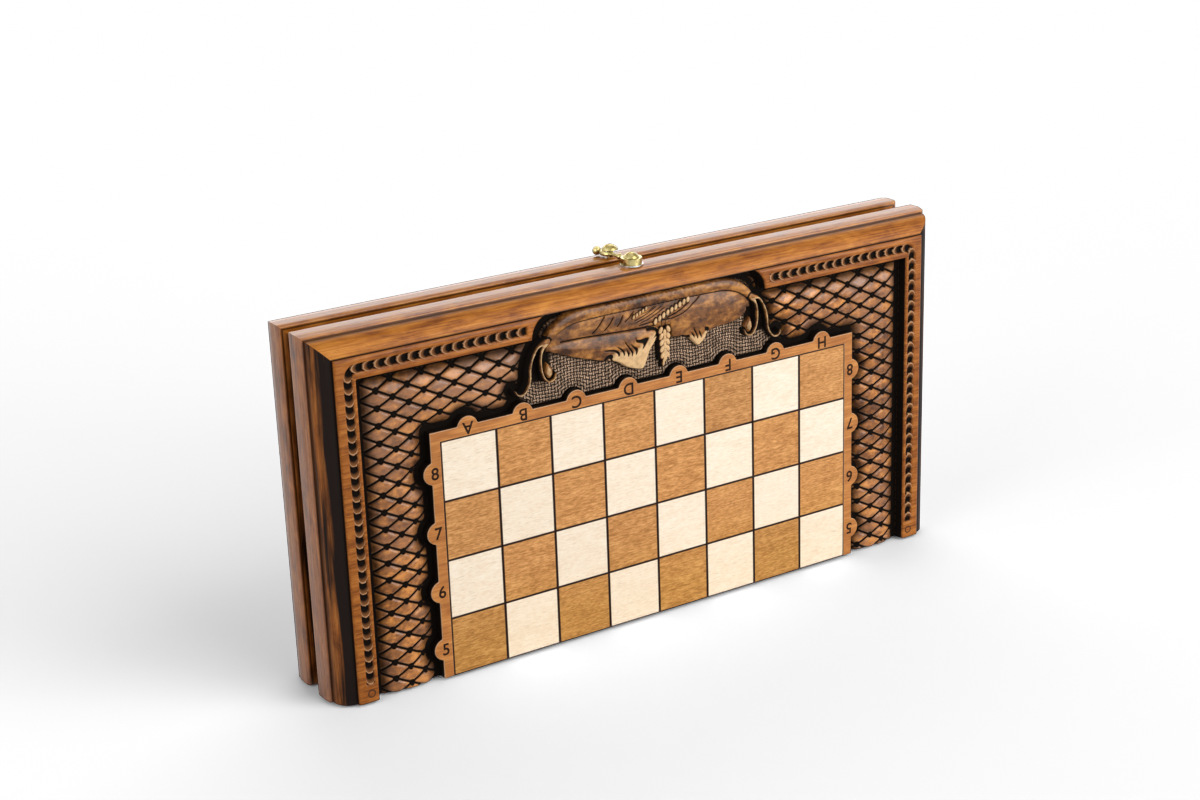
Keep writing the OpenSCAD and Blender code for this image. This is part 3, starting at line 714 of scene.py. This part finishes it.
def prism(bm, loop, front, back, bevel):
    """Closed solid over an outline between two depths, its front edge rounded"""
    rear = [bm.verts.new(place(px, back, pz)) for px, pz in loop]
    face = bm.faces.new(rear)
    grown = bmesh.ops.extrude_face_region(bm, geom=[face])["geom"]
    raised = [v for v in grown if isinstance(v, bmesh.types.BMVert)]
    bmesh.ops.translate(bm, verts=raised, vec=(0, (front - back) * MM, 0))
    fronts = [e for e in grown if isinstance(e, bmesh.types.BMEdge)]
    if bevel:
        bmesh.ops.bevel(bm, geom=fronts, offset=bevel * MM, segments=3, profile=0.5, affect="EDGES",
                        clamp_overlap=True)


def board_panel(half, material):
    """Frame of the chessboard and the floor under its squares"""
    bm = bmesh.new()
    prism(bm, board_loop(), BOARD_DEPTH, BOARD_SEAT, 0.45)
    prism(bm, POCKET, BOARD_DEPTH + SQUARE_T, BOARD_SEAT, 0)
    bmesh.ops.recalc_face_normals(bm, faces=bm.faces)
    name = half + "_board_frame"
    mesh = bpy.data.meshes.new(name)
    bm.to_mesh(mesh)
    bm.free()
    add_piece(name, mesh, half, [half + "_board_panel"], material)


LETTER_SIZE = 11.6
LETTER_PROUD = 0.06
LETTER_BOLD = 0.2
LETTER_OUT = 5


def letter_mesh(letter, turned):
    """One burnt letter or digit, centred, as points and faces in the plane of the board"""
    curve = bpy.data.curves.new("letter", "FONT")
    curve.body = letter
    curve.size = LETTER_SIZE
    curve.extrude = LETTER_PROUD
    curve.offset = LETTER_BOLD
    holder = bpy.data.objects.new("letter", curve)
    mesh = bpy.data.meshes.new_from_object(holder)
    points = np.zeros(len(mesh.vertices) * 3)
    mesh.vertices.foreach_get("co", points)
    points = points.reshape(-1, 3)
    points[:, :2] -= (points[:, :2].min(0) + points[:, :2].max(0)) / 2
    if turned:
        points[:, :2] *= -1
    faces = [tuple(p.vertices) for p in mesh.polygons]
    bpy.data.objects.remove(holder)
    bpy.data.curves.remove(curve)
    bpy.data.meshes.remove(mesh)
    return points, faces


def coordinates(half, material):
    """Letters over the files and digits beside the ranks, as one piece"""
    letters = "ABCDEFGH" if half == "front" else "HGFEDCBA"
    digits = "5678" if half == "front" else "4321"
    edge, top = BOARD_HALF + LETTER_OUT, BOARD_H + LETTER_OUT
    places = [(letter, x, top, True) for letter, x in zip(letters, FILE_X)]
    for digit, z in zip(digits, RANK_Z):
        places += [(digit, -edge, z, False), (digit, edge, z, True)]
    points, faces = [], []
    for letter, x, z, turned in places:
        flat, shapes = letter_mesh(letter, turned)
        start = sum(len(p) for p in points)
        points.append(place(flat[:, 0] + x, BOARD_DEPTH - flat[:, 2], flat[:, 1] + z))
        faces += [tuple(start + i for i in shape) for shape in shapes]
    name = half + "_coordinates"
    mesh = mesh_from(name, np.vstack(points), faces, [False] * len(faces))
    add_piece(name, mesh, half, [], material)


# --- mouldings ---

SHARP_DEGREES = 34


def eased(corners, radius, steps=3):
    """Closed section with its corners rounded"""
    section = []
    count = len(corners)
    for i, corner in enumerate(corners):
        here = Vector(corner)
        before, after = Vector(corners[i - 1]) - here, Vector(corners[(i + 1) % count]) - here
        cut = min(radius, before.length * 0.45, after.length * 0.45)
        start, end = here + before.normalized() * cut, here + after.normalized() * cut
        for step in range(steps + 1):
            t = step / steps
            section.append(tuple((1 - t) ** 2 * start + 2 * t * (1 - t) * here + t**2 * end))
    return section


def moulding_section():
    """Section of the moulding as (reach outside the panel, depth), closed"""
    quarter_end = STEP_DEPTH + QUARTER_R
    rim_start = quarter_end + RIM_SLOPE
    quarter = [(QUARTER_R * math.sin(t), quarter_end - QUARTER_R * math.cos(t))
               for t in np.linspace(0, math.pi / 2, 15)]
    ledge = quarter_end + LEDGE_DEPTH
    rest = [(QUARTER_R, ledge), (QUARTER_R + LEDGE_W, ledge), (RIM_E, rim_start),
            (RIM_E, rim_start + RIM_FLAT), (RIM_E - 1, RIM_BACK), (RIM_IN, RIM_BACK),
            (RIM_IN, PANEL_T), (0, PANEL_T)]
    return quarter + eased(rest, 0.7)


def moulding(half, side, material):
    """A moulding along one side of the panel, mitred where it meets its neighbour"""
    section = moulding_section()
    stations = 40
    outward = -1 if side == "left" else 1
    points = []
    for reach, depth in section:
        start, end = (-HALF_W - reach, HALF_W + reach) if side == "top" else (0, PANEL_H + reach)
        along = np.linspace(start, end, stations)
        waver = 0.05 * ripple(along, along * 0 + reach * 3 + depth, 60, 31) * (0.5 < reach < RIM_E - 0.3)
        inset = depth + np.abs(waver)
        if side == "top":
            points.append(place(along, inset, PANEL_H + reach))
        else:
            points.append(place(outward * (HALF_W + reach), inset, along))
    count = len(section)
    index = np.arange(count * stations).reshape(count, stations)
    nxt = np.roll(index, -1, axis=0)
    quads = np.stack([index[:, :-1], index[:, 1:], nxt[:, 1:], nxt[:, :-1]], axis=-1).reshape(-1, 4)
    faces = quads.tolist() + [index[:, 0].tolist(), index[::-1, -1].tolist()]
    node_side = {"left": "right", "right": "left"}.get(side, side) if half == "back" else side
    name = f"{half}_{node_side}_rail"
    mesh = mesh_from(name, np.vstack(points), faces, [True] * len(quads) + [False] * 2)
    bm = bmesh.new()
    bm.from_mesh(mesh)
    bmesh.ops.recalc_face_normals(bm, faces=bm.faces)
    for edge in bm.edges:
        edge.smooth = edge.calc_face_angle(0) < math.radians(SHARP_DEGREES)
    bm.to_mesh(mesh)
    bm.free()
    add_piece(name, mesh, half, [f"{half}_{node_side}_moulding"], material)


# --- materials ---


class Value:
    """A number, colour or place inside a material; arithmetic on it adds the nodes that work it out"""

    def __init__(self, socket):
        self.socket = socket

    def __add__(self, other):
        return maths("ADD", self, other)

    def __sub__(self, other):
        return maths("SUBTRACT", self, other)

    def __rsub__(self, other):
        return maths("SUBTRACT", other, self)

    def __mul__(self, other):
        return maths("MULTIPLY", self, other)

    def __truediv__(self, other):
        return maths("DIVIDE", self, other)

    def __abs__(self):
        return maths("ABSOLUTE", self)


def set_inputs(node, inputs):
    """Links or fills a node's inputs by name or number"""
    for key, value in inputs.items():
        if isinstance(value, Value):
            node.id_data.links.new(value.socket, node.inputs[key])
        else:
            node.inputs[key].default_value = value


def add_node(tree, kind, inputs, **settings):
    node = tree.nodes.new(kind)
    for key, value in settings.items():
        setattr(node, key, value)
    set_inputs(node, inputs)
    return node


def joined(kind, inputs, output=0, **settings):
    """Output of a new node in the material that its inputs belong to"""
    tree = next(value.socket.id_data for value in inputs.values() if isinstance(value, Value))
    return Value(add_node(tree, kind, inputs, **settings).outputs[output])


def maths(operation, *terms):
    return joined("ShaderNodeMath", dict(enumerate(terms)), operation=operation)


def vector_maths(operation, *terms):
    return joined("ShaderNodeVectorMath", dict(enumerate(terms)), operation=operation)


def larger(*values):
    return reduce(lambda a, b: maths("MAXIMUM", a, b), values)


def smaller(a, b):
    return maths("MINIMUM", a, b)


def along_axis(where, axis):
    return joined("ShaderNodeSeparateXYZ", {0: where}, axis)


def mix_colour(share, a, b, blend="MIX"):
    return joined("ShaderNodeMix", {0: share, 6: a, 7: b}, 2, data_type="RGBA", blend_type=blend)


def noise(where, scale, detail=3.0, roughness=0.55, distortion=0.0):
    inputs = {"Vector": where, "Scale": scale, "Detail": detail, "Roughness": roughness,
              "Distortion": distortion}
    return joined("ShaderNodeTexNoise", inputs)


def ramp(value, stops):
    """Colour ramp from (position, colour) stops"""
    node = add_node(value.socket.id_data, "ShaderNodeValToRGB", {0: value})
    elements = node.color_ramp.elements
    while len(elements) < len(stops):
        elements.new(0.5)
    for element, (position, colour) in zip(elements, stops):
        element.position = position
        element.color = (*colour[:3], 1)
    return Value(node.outputs[0])


def span(value, low, high, to_low=0.0, to_high=1.0):
    """Stretches a range of values onto another"""
    inputs = {0: value, 1: low, 2: high, 3: to_low, 4: to_high}
    return joined("ShaderNodeMapRange", inputs, clamp=True)


def set_shader(shader, **inputs):
    """Links or fills inputs of a shader, named with underscores for their spaces"""
    set_inputs(shader, {key.replace("_", " "): value for key, value in inputs.items()})


def new_material(name, **constants):
    """A material, its shader, and the place of each of its points on the object"""
    material = bpy.data.materials.new(name)
    material.use_nodes = True
    shader = material.node_tree.nodes["Principled BSDF"]
    set_shader(shader, **constants)
    place_node = add_node(material.node_tree, "ShaderNodeTexCoord", {})
    return material, shader, Value(place_node.outputs["Object"])


def attribute(shader, name):
    """A number that the points of the mesh carry"""
    node = add_node(shader.id_data, "ShaderNodeAttribute", {}, attribute_name=name)
    return Value(node.outputs["Fac"])


def stretched(where, scale, turn=(0, 0, 0)):
    return joined("ShaderNodeMapping", {"Vector": where, "Scale": scale, "Rotation": turn})


def bump(shader, height, strength, distance):
    """Fine relief up to a distance in millimetres"""
    inputs = {"Strength": strength, "Distance": distance * MM, "Height": height}
    set_shader(shader, Normal=joined("ShaderNodeBump", inputs))


GRAIN_ALONG_X = (1, 22, 22)
GRAIN_ALONG_Z = (22, 22, 1)
# Black for the dark lattice lines and dots, and painted shade in the moats, cuts, walls and deep parts of
# the chain.
BLACK_STAIN_AND_SHADE = (0.004, 0.002, 0.001, 1)


def wood_figure(where, grain=GRAIN_ALONG_X, mottle_scale=38):
    """Fibres and cloudy figure of a wood, each from 0 to 1"""
    fibres = noise(stretched(where, grain), 38, 5, 0.6, 0.3)
    cloud = noise(stretched(where, tuple(1 + 0.08 * g for g in grain)), mottle_scale, 4, 0.6, 0.4)
    return fibres, cloud


def wood_colour(where, fibres, cloud, tones, cloud_share, grain=GRAIN_ALONG_X):
    """Colour of a wood between its dark, middle and light tone, with dark pores"""
    pores = span(noise(stretched(where, tuple(g * 3 for g in grain)), 42, 2), 0.36, 0.28)
    blend = cloud * cloud_share + fibres * (1 - cloud_share)
    colour = ramp(blend, [(0.36, tones[0]), (0.5, tones[1]), (0.64, tones[2])])
    pore_colour = (*[c * 0.35 for c in tones[0]], 1)
    return mix_colour(pores * 0.45, colour, pore_colour)


def finish_wood(shader, colour, cloud, height, rough, strength=0.25):
    set_shader(shader, Base_Color=colour, Roughness=span(cloud, 0.3, 0.7, rough - 0.06, rough + 0.1))
    bump(shader, height, strength, 0.25)


def stained_wood(name, tones):
    """Lacquered wood of the trays, with grain, cloudy stain and pores"""
    material, shader, where = new_material(name, Coat_Weight=0.3, Coat_Roughness=0.16,
                                           Specular_IOR_Level=0.3)
    fibres, cloud = wood_figure(where)
    colour = wood_colour(where, fibres, cloud, tones, 0.6)
    finish_wood(shader, colour, cloud, fibres, 0.34)
    return material


def rail_wood(name, tones, grain, axis, inner_edge, painted_shade_strength, rim_coat):
    """Moulding wood, most polished on the rims, with painted shade in near-black streaks beside the carved
    face and in the step below the quarter round
    """
    material, shader, where = new_material(name, Coat_Roughness=0.15, Coat_IOR=1.8,
                                           Specular_IOR_Level=0.12)
    fibres, cloud = wood_figure(where, grain)
    colour = wood_colour(where, fibres, cloud, tones, 0.5, grain)
    streaks = noise(stretched(where, tuple(0.6 * g for g in grain)), 22, 3, 0.5, 0.4)
    out = abs(along_axis(where, axis)) / MM - inner_edge
    # Painted shade: near-black streaks that darken the wood beside the carved face.
    painted_shade_streaks = span(out - streaks * 20.0, -3, 2, painted_shade_strength, 0)
    colour = mix_colour(painted_shade_streaks, colour, (0.008, 0.003, 0.0015, 1))
    # Dark line at the joint with the carved panel, and painted shade in the step below the quarter round.
    ledge = abs(out - (QUARTER_R + 0.3))
    joint_line_and_step_shade = larger(span(ledge, 0.9, 0.3), span(out, 0.9, 0.3))
    colour = mix_colour(joint_line_and_step_shade * 0.85, colour, (0.02, 0.007, 0.003, 1))
    set_shader(shader, Coat_Weight=span(out, QUARTER_R - 0.5, QUARTER_R + LEDGE_W, 0.05, rim_coat))
    finish_wood(shader, colour, cloud, fibres, 0.4, 0.15)
    return material


def below_face(where, depth):
    """Distance of a point below a level of either half, in millimetres"""
    return -FACE_Y - depth - abs(along_axis(where, "Y")) / MM


def frame_wood(name, tones):
    """Plain frame of the chessboard, with a painted highlight on its rounded front edge and its walls
    painted black as shade down in the moat
    """
    material, shader, where = new_material(name, Coat_Weight=0.1, Coat_Roughness=0.25,
                                           Specular_IOR_Level=0.2)
    fibres, cloud = wood_figure(where)
    colour = wood_colour(where, fibres, cloud, tones, 0.5)
    below = below_face(where, BOARD_DEPTH)
    # Painted highlight on the rounded front edge.
    colour = mix_colour(span(below, 0.03, 0.12, 0, 0.6), colour, (0.9, 0.62, 0.4, 1))
    # Painted shade: the walls below the edge are painted black.
    colour = mix_colour(span(below, 0.5, 1.2), colour, BLACK_STAIN_AND_SHADE)
    finish_wood(shader, colour, cloud, fibres, 0.45)
    return material


def square_wood(name, tones, varied, tint):
    """Veneer of the chess squares, with its own tone on each square and burnt edges"""
    material, shader, where = new_material(name, Specular_IOR_Level=0.2, Coat_Weight=0.05,
                                           Coat_Roughness=0.3)
    per_square = 1 / SQUARE / MM
    cells = vector_maths("MULTIPLY_ADD", where, (per_square, 0, per_square), (0, 0.5, -WOOD_Z / SQUARE))
    cell = {"Vector": vector_maths("FLOOR", cells)}
    own_shift = joined("ShaderNodeTexWhiteNoise", cell, "Color")
    own_tone = joined("ShaderNodeTexWhiteNoise", cell, "Value")
    shifted = vector_maths("MULTIPLY_ADD", own_shift, (3, 3, 3), where)
    fibres, cloud = wood_figure(shifted, mottle_scale=55)
    flecks = span(noise(stretched(shifted, (1, 4, 4)), 260, 4), 0.3, 0.7, 0.15, 0.85)
    figure = flecks * 0.55 + fibres * 0.45
    colour = wood_colour(shifted, figure, cloud, tones, 0.3)
    tone = span(own_tone, 0, 1, 1 - varied, 1 + varied)
    colour = joined("ShaderNodeVectorMath", {0: colour, "Scale": tone}, operation="SCALE")
    colour = mix_colour(span(along_axis(cells, "Z"), 1.6, 0.4, 0, 0.7), colour, tint, "MULTIPLY")
    burnt = span(below_face(where, BOARD_DEPTH), 0.2, 0.5)
    for axis, width in (("X", 1.15), ("Z", 0.95)):
        off = maths("PINGPONG", along_axis(cells, axis), 0.5) * SQUARE
        burnt = larger(burnt, span(off, width, width - 0.35))
    colour = mix_colour(burnt, colour, (0.03, 0.01, 0.005, 1))
    finish_wood(shader, colour, cloud, fibres, 0.45, 0.15)
    return material


def lattice_lines(across, up):
    """Darkness of the cut lines and dots, rise of the bevels beside them, and the lower rims that take a
    painted highlight
    """
    u, v = (across - LATTICE_X) / (2 * LATTICE_HALF_X), (up - LATTICE_Z) / (2 * LATTICE_HALF_Z)
    a, b = u + v, u - v
    near_a, near_b = maths("WRAP", a, 0.5, -0.5), maths("WRAP", b, 0.5, -0.5)
    off = smaller(abs(near_a), abs(near_b)) * LATTICE_SPACING
    dx, dz = (near_a + near_b) * LATTICE_HALF_X, (near_a - near_b) * LATTICE_HALF_Z
    dot = span(dx * dx + dz * dz, (DOT_R + 0.25) ** 2, (DOT_R - 0.25) ** 2)
    lower = smaller(maths("FRACT", a), 1 - maths("FRACT", b)) * LATTICE_SPACING
    rim = span(lower, 0.7, 1.0) * span(lower, 1.9, 1.2)
    return larger(span(off, 1.0, 0.6), dot), span(off, 0.3, 1.5) * (1 - dot), rim


def weave_threads(row, column):
    """Height of plain woven threads, from 0 between them to 1 along their tops"""
    r, c = row / WEAVE_PITCH, column / WEAVE_PITCH
    turn = maths("PINGPONG", maths("FLOOR", r) + maths("FLOOR", c), 1.0)
    flat, upright = maths("PINGPONG", r, 0.5), maths("PINGPONG", c, 0.5)
    return joined("ShaderNodeMix", {0: turn, 2: flat, 3: upright}) * 2.0


def chain_marks(way, off, across, up):
    """Phase along each unit of the chain, and the shares covered by the units and by the end rings"""
    wide = abs(off)
    ratio = smaller(wide / CHAIN_HALF_W, 0.99)
    lag = (1 - maths("SQRT", 1 - ratio * ratio)) * (CHAIN_CURVE * CHAIN_HALF_W / CHAIN_PITCH)
    phase = maths("FRACT", way + lag)
    inside = span(wide - phase * 0.9, CHAIN_HALF_W - 0.5, CHAIN_HALF_W - 1.0)
    beside, above = abs(across) - CHAIN_X, up - RING_Z
    ring = maths("SQRT", beside * beside + above * above)
    return phase, inside, span(abs(ring - RING_R), 0.65, 0.3)


def field_colour(where, up, shade, cloud, fine, rim):
    """Mottled stain of the lattice field, with a painted sheen in mauve patches that grows towards the top,
    and a painted highlight on the lower rims
    """
    blend = cloud * 0.42 + fine * 0.25 + noise(where, 13, 2) * 0.25 + shade * 0.08
    colour = ramp(blend, [(0.41, (0.11, 0.036, 0.01)), (0.51, (0.37, 0.132, 0.028)),
                          (0.59, (0.74, 0.29, 0.058))])
    # Painted sheen: mauve patches that grow stronger towards the top.
    painted_sheen = span(noise(where, 16, 2), 0.38, 0.6) * span(up, 120, 215, 0.4, 1)
    colour = mix_colour(painted_sheen * 0.7, colour, (0.36, 0.19, 0.115, 1))
    # Painted highlight along the lower rims of the scales.
    return mix_colour(rim * span(fine, 0.35, 0.6, 0.1, 0.7), colour, (0.55, 0.34, 0.2, 1))


def strip_colour(fibres, cloud, phase, pressed, ring):
    """Wood of the border strips, with the chain pressed into it and a ring at each end; each chain unit is
    painted black as shade in its deep part and carries a painted glint on its raised rim
    """
    plain = ramp(cloud * 0.4 + fibres * 0.6, [(0.38, (0.17, 0.045, 0.006)), (0.5, (0.32, 0.095, 0.011)),
                                              (0.62, (0.48, 0.17, 0.03))])
    # Painted shade in the deep part of each unit, and a painted highlight on its raised rim.
    glint = (0.5, 0.27, 0.14)
    unit = ramp(phase, [(0.0, BLACK_STAIN_AND_SHADE), (0.48, BLACK_STAIN_AND_SHADE), (0.66, (0.13, 0.05, 0.018)),
                        (0.82, (0.2, 0.08, 0.025)), (0.88, glint), (0.95, glint), (1.0, BLACK_STAIN_AND_SHADE)])
    return mix_colour(ring, mix_colour(pressed, plain, unit), (0.06, 0.022, 0.008, 1))


def panel_wood(name):
    """Carved face: stained lattice, woven ground, plain strips with the chain, and painted shade in the
    moats and down the walls
    """
    material, shader, where = new_material(name, Coat_Roughness=0.2, Specular_IOR_Level=0.12)
    fibres, cloud = wood_figure(where, mottle_scale=60)
    fine = noise(where, 260, 3)
    across, up, ground, strip, row, column, chain, way, off, moat, shade = [
        attribute(shader, key) for key in ("across", "up", "ground", "strip", "row", "column", "chain",
                                           "chain_way", "chain_off", "moat", "shade")]

    line, rise, rim = lattice_lines(across, up)
    field = mix_colour(line, field_colour(where, up, shade, cloud, fine, rim), BLACK_STAIN_AND_SHADE)
    threads = weave_threads(row, column)
    lit = span(threads, 0.35, 0.8) * span(fine, 0.35, 0.6, 0.4, 1)
    woven = mix_colour(lit, (0.01, 0.005, 0.003, 1), (0.56, 0.38, 0.26, 1))
    phase, inside, ring = chain_marks(way, off, across, up)
    pressed = inside * chain
    plain = strip_colour(fibres, cloud, phase, pressed, ring)
    colour = mix_colour(strip, mix_colour(ground, field, woven), plain)

    # The stain mask is painted shade: the strips' inner walls below 0.9 mm joined with the moat mask, all
    # painted black.
    wall = span(below_face(where, 0), 0.9, 1.7) * span(strip, 0.02, 0.1) * (1 - pressed)
    stain = larger(moat, wall)
    on_field = 1 - larger(ground, strip)
    matt = larger(stain, ground, line * on_field, pressed)
    set_shader(shader, Base_Color=mix_colour(stain, colour, BLACK_STAIN_AND_SHADE),
               Roughness=span(matt, 0, 1, 0.34, 0.95),
               Coat_Weight=span(matt, 0.7, 0) * (0.5 - strip * 0.3))
    height = rise * on_field * 0.9 + threads * ground * 0.6 + (fibres + fine) * 0.08
    bump(shader, height, 0.8, 1.0)
    return material


def crest_stain_and_shade(name):
    """Dark mottled stain on the crest, rubbed back to pale gilt on its tips, beads and thin ribbons, with
    painted black shade in its cuts, along its edges and down its walls
    """
    material, shader, where = new_material(name, Coat_Roughness=0.22, Specular_IOR_Level=0.15)
    fibres, cloud = wood_figure(where, mottle_scale=60)
    fine = noise(where, 260, 3)
    blend = cloud * 0.55 + fine * 0.3 + attribute(shader, "shade") * 0.15
    colour = ramp(blend, [(0.38, (0.045, 0.016, 0.006)), (0.5, (0.2, 0.074, 0.018)),
                          (0.62, (0.5, 0.215, 0.05))])
    rubbed = span(fine * 1.1 + attribute(shader, "gold"), 0.95, 1.6)
    colour = mix_colour(rubbed, colour, (0.74, 0.48, 0.24, 1))
    # Painted shade from the dark mask: black in the cuts, along the edges and down the walls.
    stain = span(attribute(shader, "dark"), 0.1, 0.75)
    set_shader(shader, Base_Color=mix_colour(stain, colour, BLACK_STAIN_AND_SHADE),
               Roughness=span(stain, 0, 1, 0.32, 0.85), Coat_Weight=span(stain, 0, 0.8, 0.2, 0.0))
    bump(shader, fibres + fine * 0.5, 0.3, 0.2)
    return material


def burnt_ink(name):
    """Burnt letters and digits"""
    material, shader, where = new_material(name, Roughness=0.7, Specular_IOR_Level=0.1)
    colour = ramp(noise(where, 900, 3), [(0.4, (0.012, 0.005, 0.003)), (0.65, (0.04, 0.017, 0.008))])
    set_shader(shader, Base_Color=colour)
    bump(shader, noise(where, 1500), 0.3, 0.05)
    return material


def metal(name, dark, light, roughness):
    """Plated metal with fine scratches, mottled darker in patches: partly slight tarnish, partly painted
    dark reflections
    """
    material, shader, where = new_material(name, Metallic=1.0)
    cloud = noise(where, 180, 4)
    # The dark end of the ramp stands partly for tarnish and partly for painted dark reflections.
    set_shader(shader, Base_Color=ramp(cloud, [(0.35, dark), (0.6, light)]),
               Roughness=span(cloud, 0.3, 0.7, roughness - 0.05, roughness + 0.12))
    scratches = noise(stretched(where, (1, 9, 9), (0, 0, 0.6)), 700, 2)
    bump(shader, scratches, 0.12, 0.03)
    return material


# --- stage ---

FLOOR_REACH = 4000
# The camera was worked out from the chessboard's squares in the photograph: its lens in
# millimetres, its place in metres, and the axis of its turn, as long as the angle in radians.
CAMERA_LENS = 62.895
CAMERA_PLACE = (-0.7418, -1.1483, 0.6234)
CAMERA_TURN = (1.83579, -0.564424, 0.355639)


def pale_floor():
    """Floor that only takes the shadows of the box"""
    far = FLOOR_REACH
    corners = place([-far, far, far, -far], [-far, -far, far, far], -WOOD_Z)
    mesh = mesh_from("floor", corners, [(0, 1, 2, 3)], [False])
    floor = add_object("floor", mesh)
    floor.is_shadow_catcher = True
    mesh.materials.append(new_material("pale_floor", Roughness=0.9, Base_Color=(0.9, 0.9, 0.9, 1))[0])


def white_world():
    """White surroundings that the camera and reflections see, and that light the box only weakly"""
    world = bpy.data.worlds.new("studio")
    bpy.context.scene.world = world
    world.use_nodes = True
    tree = world.node_tree
    tree.nodes.clear()
    path = add_node(tree, "ShaderNodeLightPath", {})
    seen = larger(*[Value(path.outputs[ray])
                    for ray in ("Is Camera Ray", "Is Glossy Ray", "Is Transmission Ray")])
    strength = span(seen, 0, 1, 0.15, 1.0)
    background = add_node(tree, "ShaderNodeBackground", {"Color": (1, 1, 1, 1), "Strength": strength})
    add_node(tree, "ShaderNodeOutputWorld", {0: Value(background.outputs[0])})


def area_light(name, where, target, size, power):
    """Soft lamp at a place in metres, turned to a target"""
    light = bpy.data.lights.new(name, "AREA")
    light.size = size
    light.energy = power
    lamp = add_object(name, light)
    lamp.location = where
    lamp.rotation_euler = (Vector(target) - Vector(where)).to_track_quat("-Z", "Y").to_euler()


def camera():
    """Camera at the photograph's viewing angle"""
    data = bpy.data.cameras.new("camera")
    data.lens = CAMERA_LENS
    data.sensor_width = 36
    data.clip_start = 0.01
    data.clip_end = 100
    viewer = add_object("camera", data)
    turn = Vector(CAMERA_TURN)
    rows = Matrix.Rotation(turn.length, 3, turn.normalized())
    axes = Matrix((rows[0], -rows[1], -rows[2])).transposed().to_4x4()
    viewer.matrix_world = Matrix.Translation(CAMERA_PLACE) @ axes
    bpy.context.scene.camera = viewer


# --- assembly ---

amber_wood = rail_wood("amber_wood", ((0.2, 0.05, 0.006), (0.46, 0.15, 0.016), (0.66, 0.26, 0.04)),
                       GRAIN_ALONG_X, "Z", WOOD_Z + PANEL_H, 0.0, 0.45)
# The side rails take a darker copy of the moulding wood than the top rail: painted shade for the side faces.
shaded_side_wood = rail_wood("shaded_side_wood", ((0.1, 0.028, 0.006), (0.35, 0.108, 0.021), (0.54, 0.195, 0.042)),
                      GRAIN_ALONG_Z, "X", HALF_W, 1.0, 1.0)
board_wood = frame_wood("board_wood", ((0.34, 0.115, 0.025), (0.48, 0.18, 0.042), (0.66, 0.29, 0.078)))
tray_wood = stained_wood("tray_wood", ((0.05, 0.016, 0.006), (0.12, 0.04, 0.014), (0.22, 0.08, 0.025)))
lining_wood = stained_wood("lining_wood", ((0.3, 0.16, 0.07), (0.44, 0.26, 0.12), (0.55, 0.36, 0.19)))
point_wood = stained_wood("point_wood", ((0.07, 0.025, 0.012), (0.14, 0.055, 0.025), (0.24, 0.11, 0.05)))
inlay_wood = stained_wood("inlay_wood", ((0.7, 0.5, 0.32), (0.8, 0.64, 0.45), (0.88, 0.75, 0.58)))
light_wood = square_wood("light_wood", ((0.87, 0.71, 0.53), (0.93, 0.79, 0.62), (0.96, 0.85, 0.7)), 0.03,
                         (1, 0.97, 0.9, 1))
dark_wood = square_wood("dark_wood", ((0.38, 0.155, 0.038), (0.55, 0.25, 0.075), (0.72, 0.37, 0.135)), 0.08,
                        (0.93, 0.97, 0.62, 1))
carved_wood = panel_wood("carved_wood")
crest_wood = crest_stain_and_shade("crest_wood")
ink = burnt_ink("burnt_ink")
brass = metal("brass", (0.22, 0.16, 0.045), (0.74, 0.62, 0.27), 0.16)
steel = metal("steel", (0.55, 0.55, 0.56), (0.8, 0.8, 0.81), 0.14)

for half in HALVES:
    carved_panel(half, carved_wood)
    crest(half, crest_wood)
    board_panel(half, board_wood)
    coordinates(half, ink)
    moulding(half, "left", shaded_side_wood)
    moulding(half, "right", shaded_side_wood)
    moulding(half, "top", amber_wood)

WALLS = ("left_wall", "right_wall", "top_wall", "hinge_wall")
BRASS_NODES = ("hinge_leaves", "hinge_screws", "hinge_pins", "latch_hook", "latch_pivot_screw",
               "latch_keeper_screw")
FINISHES = {
    "light_squares": (light_wood, "light_wood"), "dark_squares": (dark_wood, "dark_wood"),
    "field_lining": (lining_wood, "field_lining"), "light_points": (inlay_wood, "light_wood"),
    "dark_points": (point_wood, "dark_point"), "latch_washer": (steel, "washer_steel"),
    **dict.fromkeys(WALLS, (tray_wood, "tray_wall")), **dict.fromkeys(BRASS_NODES, (brass, "brass")),
}
for name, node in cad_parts.items():
    finish = FINISHES.get(name.removeprefix("front_").removeprefix("back_"))
    if finish:
        node.data.materials.clear()
        node.data.materials.append(finish[0])

pale_floor()
white_world()
area_light("key", (1.0, -1.9, 1.9), (0, 0, 0.12), 2.4, 36)
area_light("low", (0.85, -1.4, 0.3), (0, 0, 0.12), 0.8, 13)
area_light("back", (1.0, 1.5, 0.95), (0, 0, 0.2), 2.2, 18)
area_light("left", (-1.9, -0.5, 0.9), (0, 0, 0.12), 1.4, 12)
camera()
bpy.context.scene.view_settings.view_transform = "Standard"
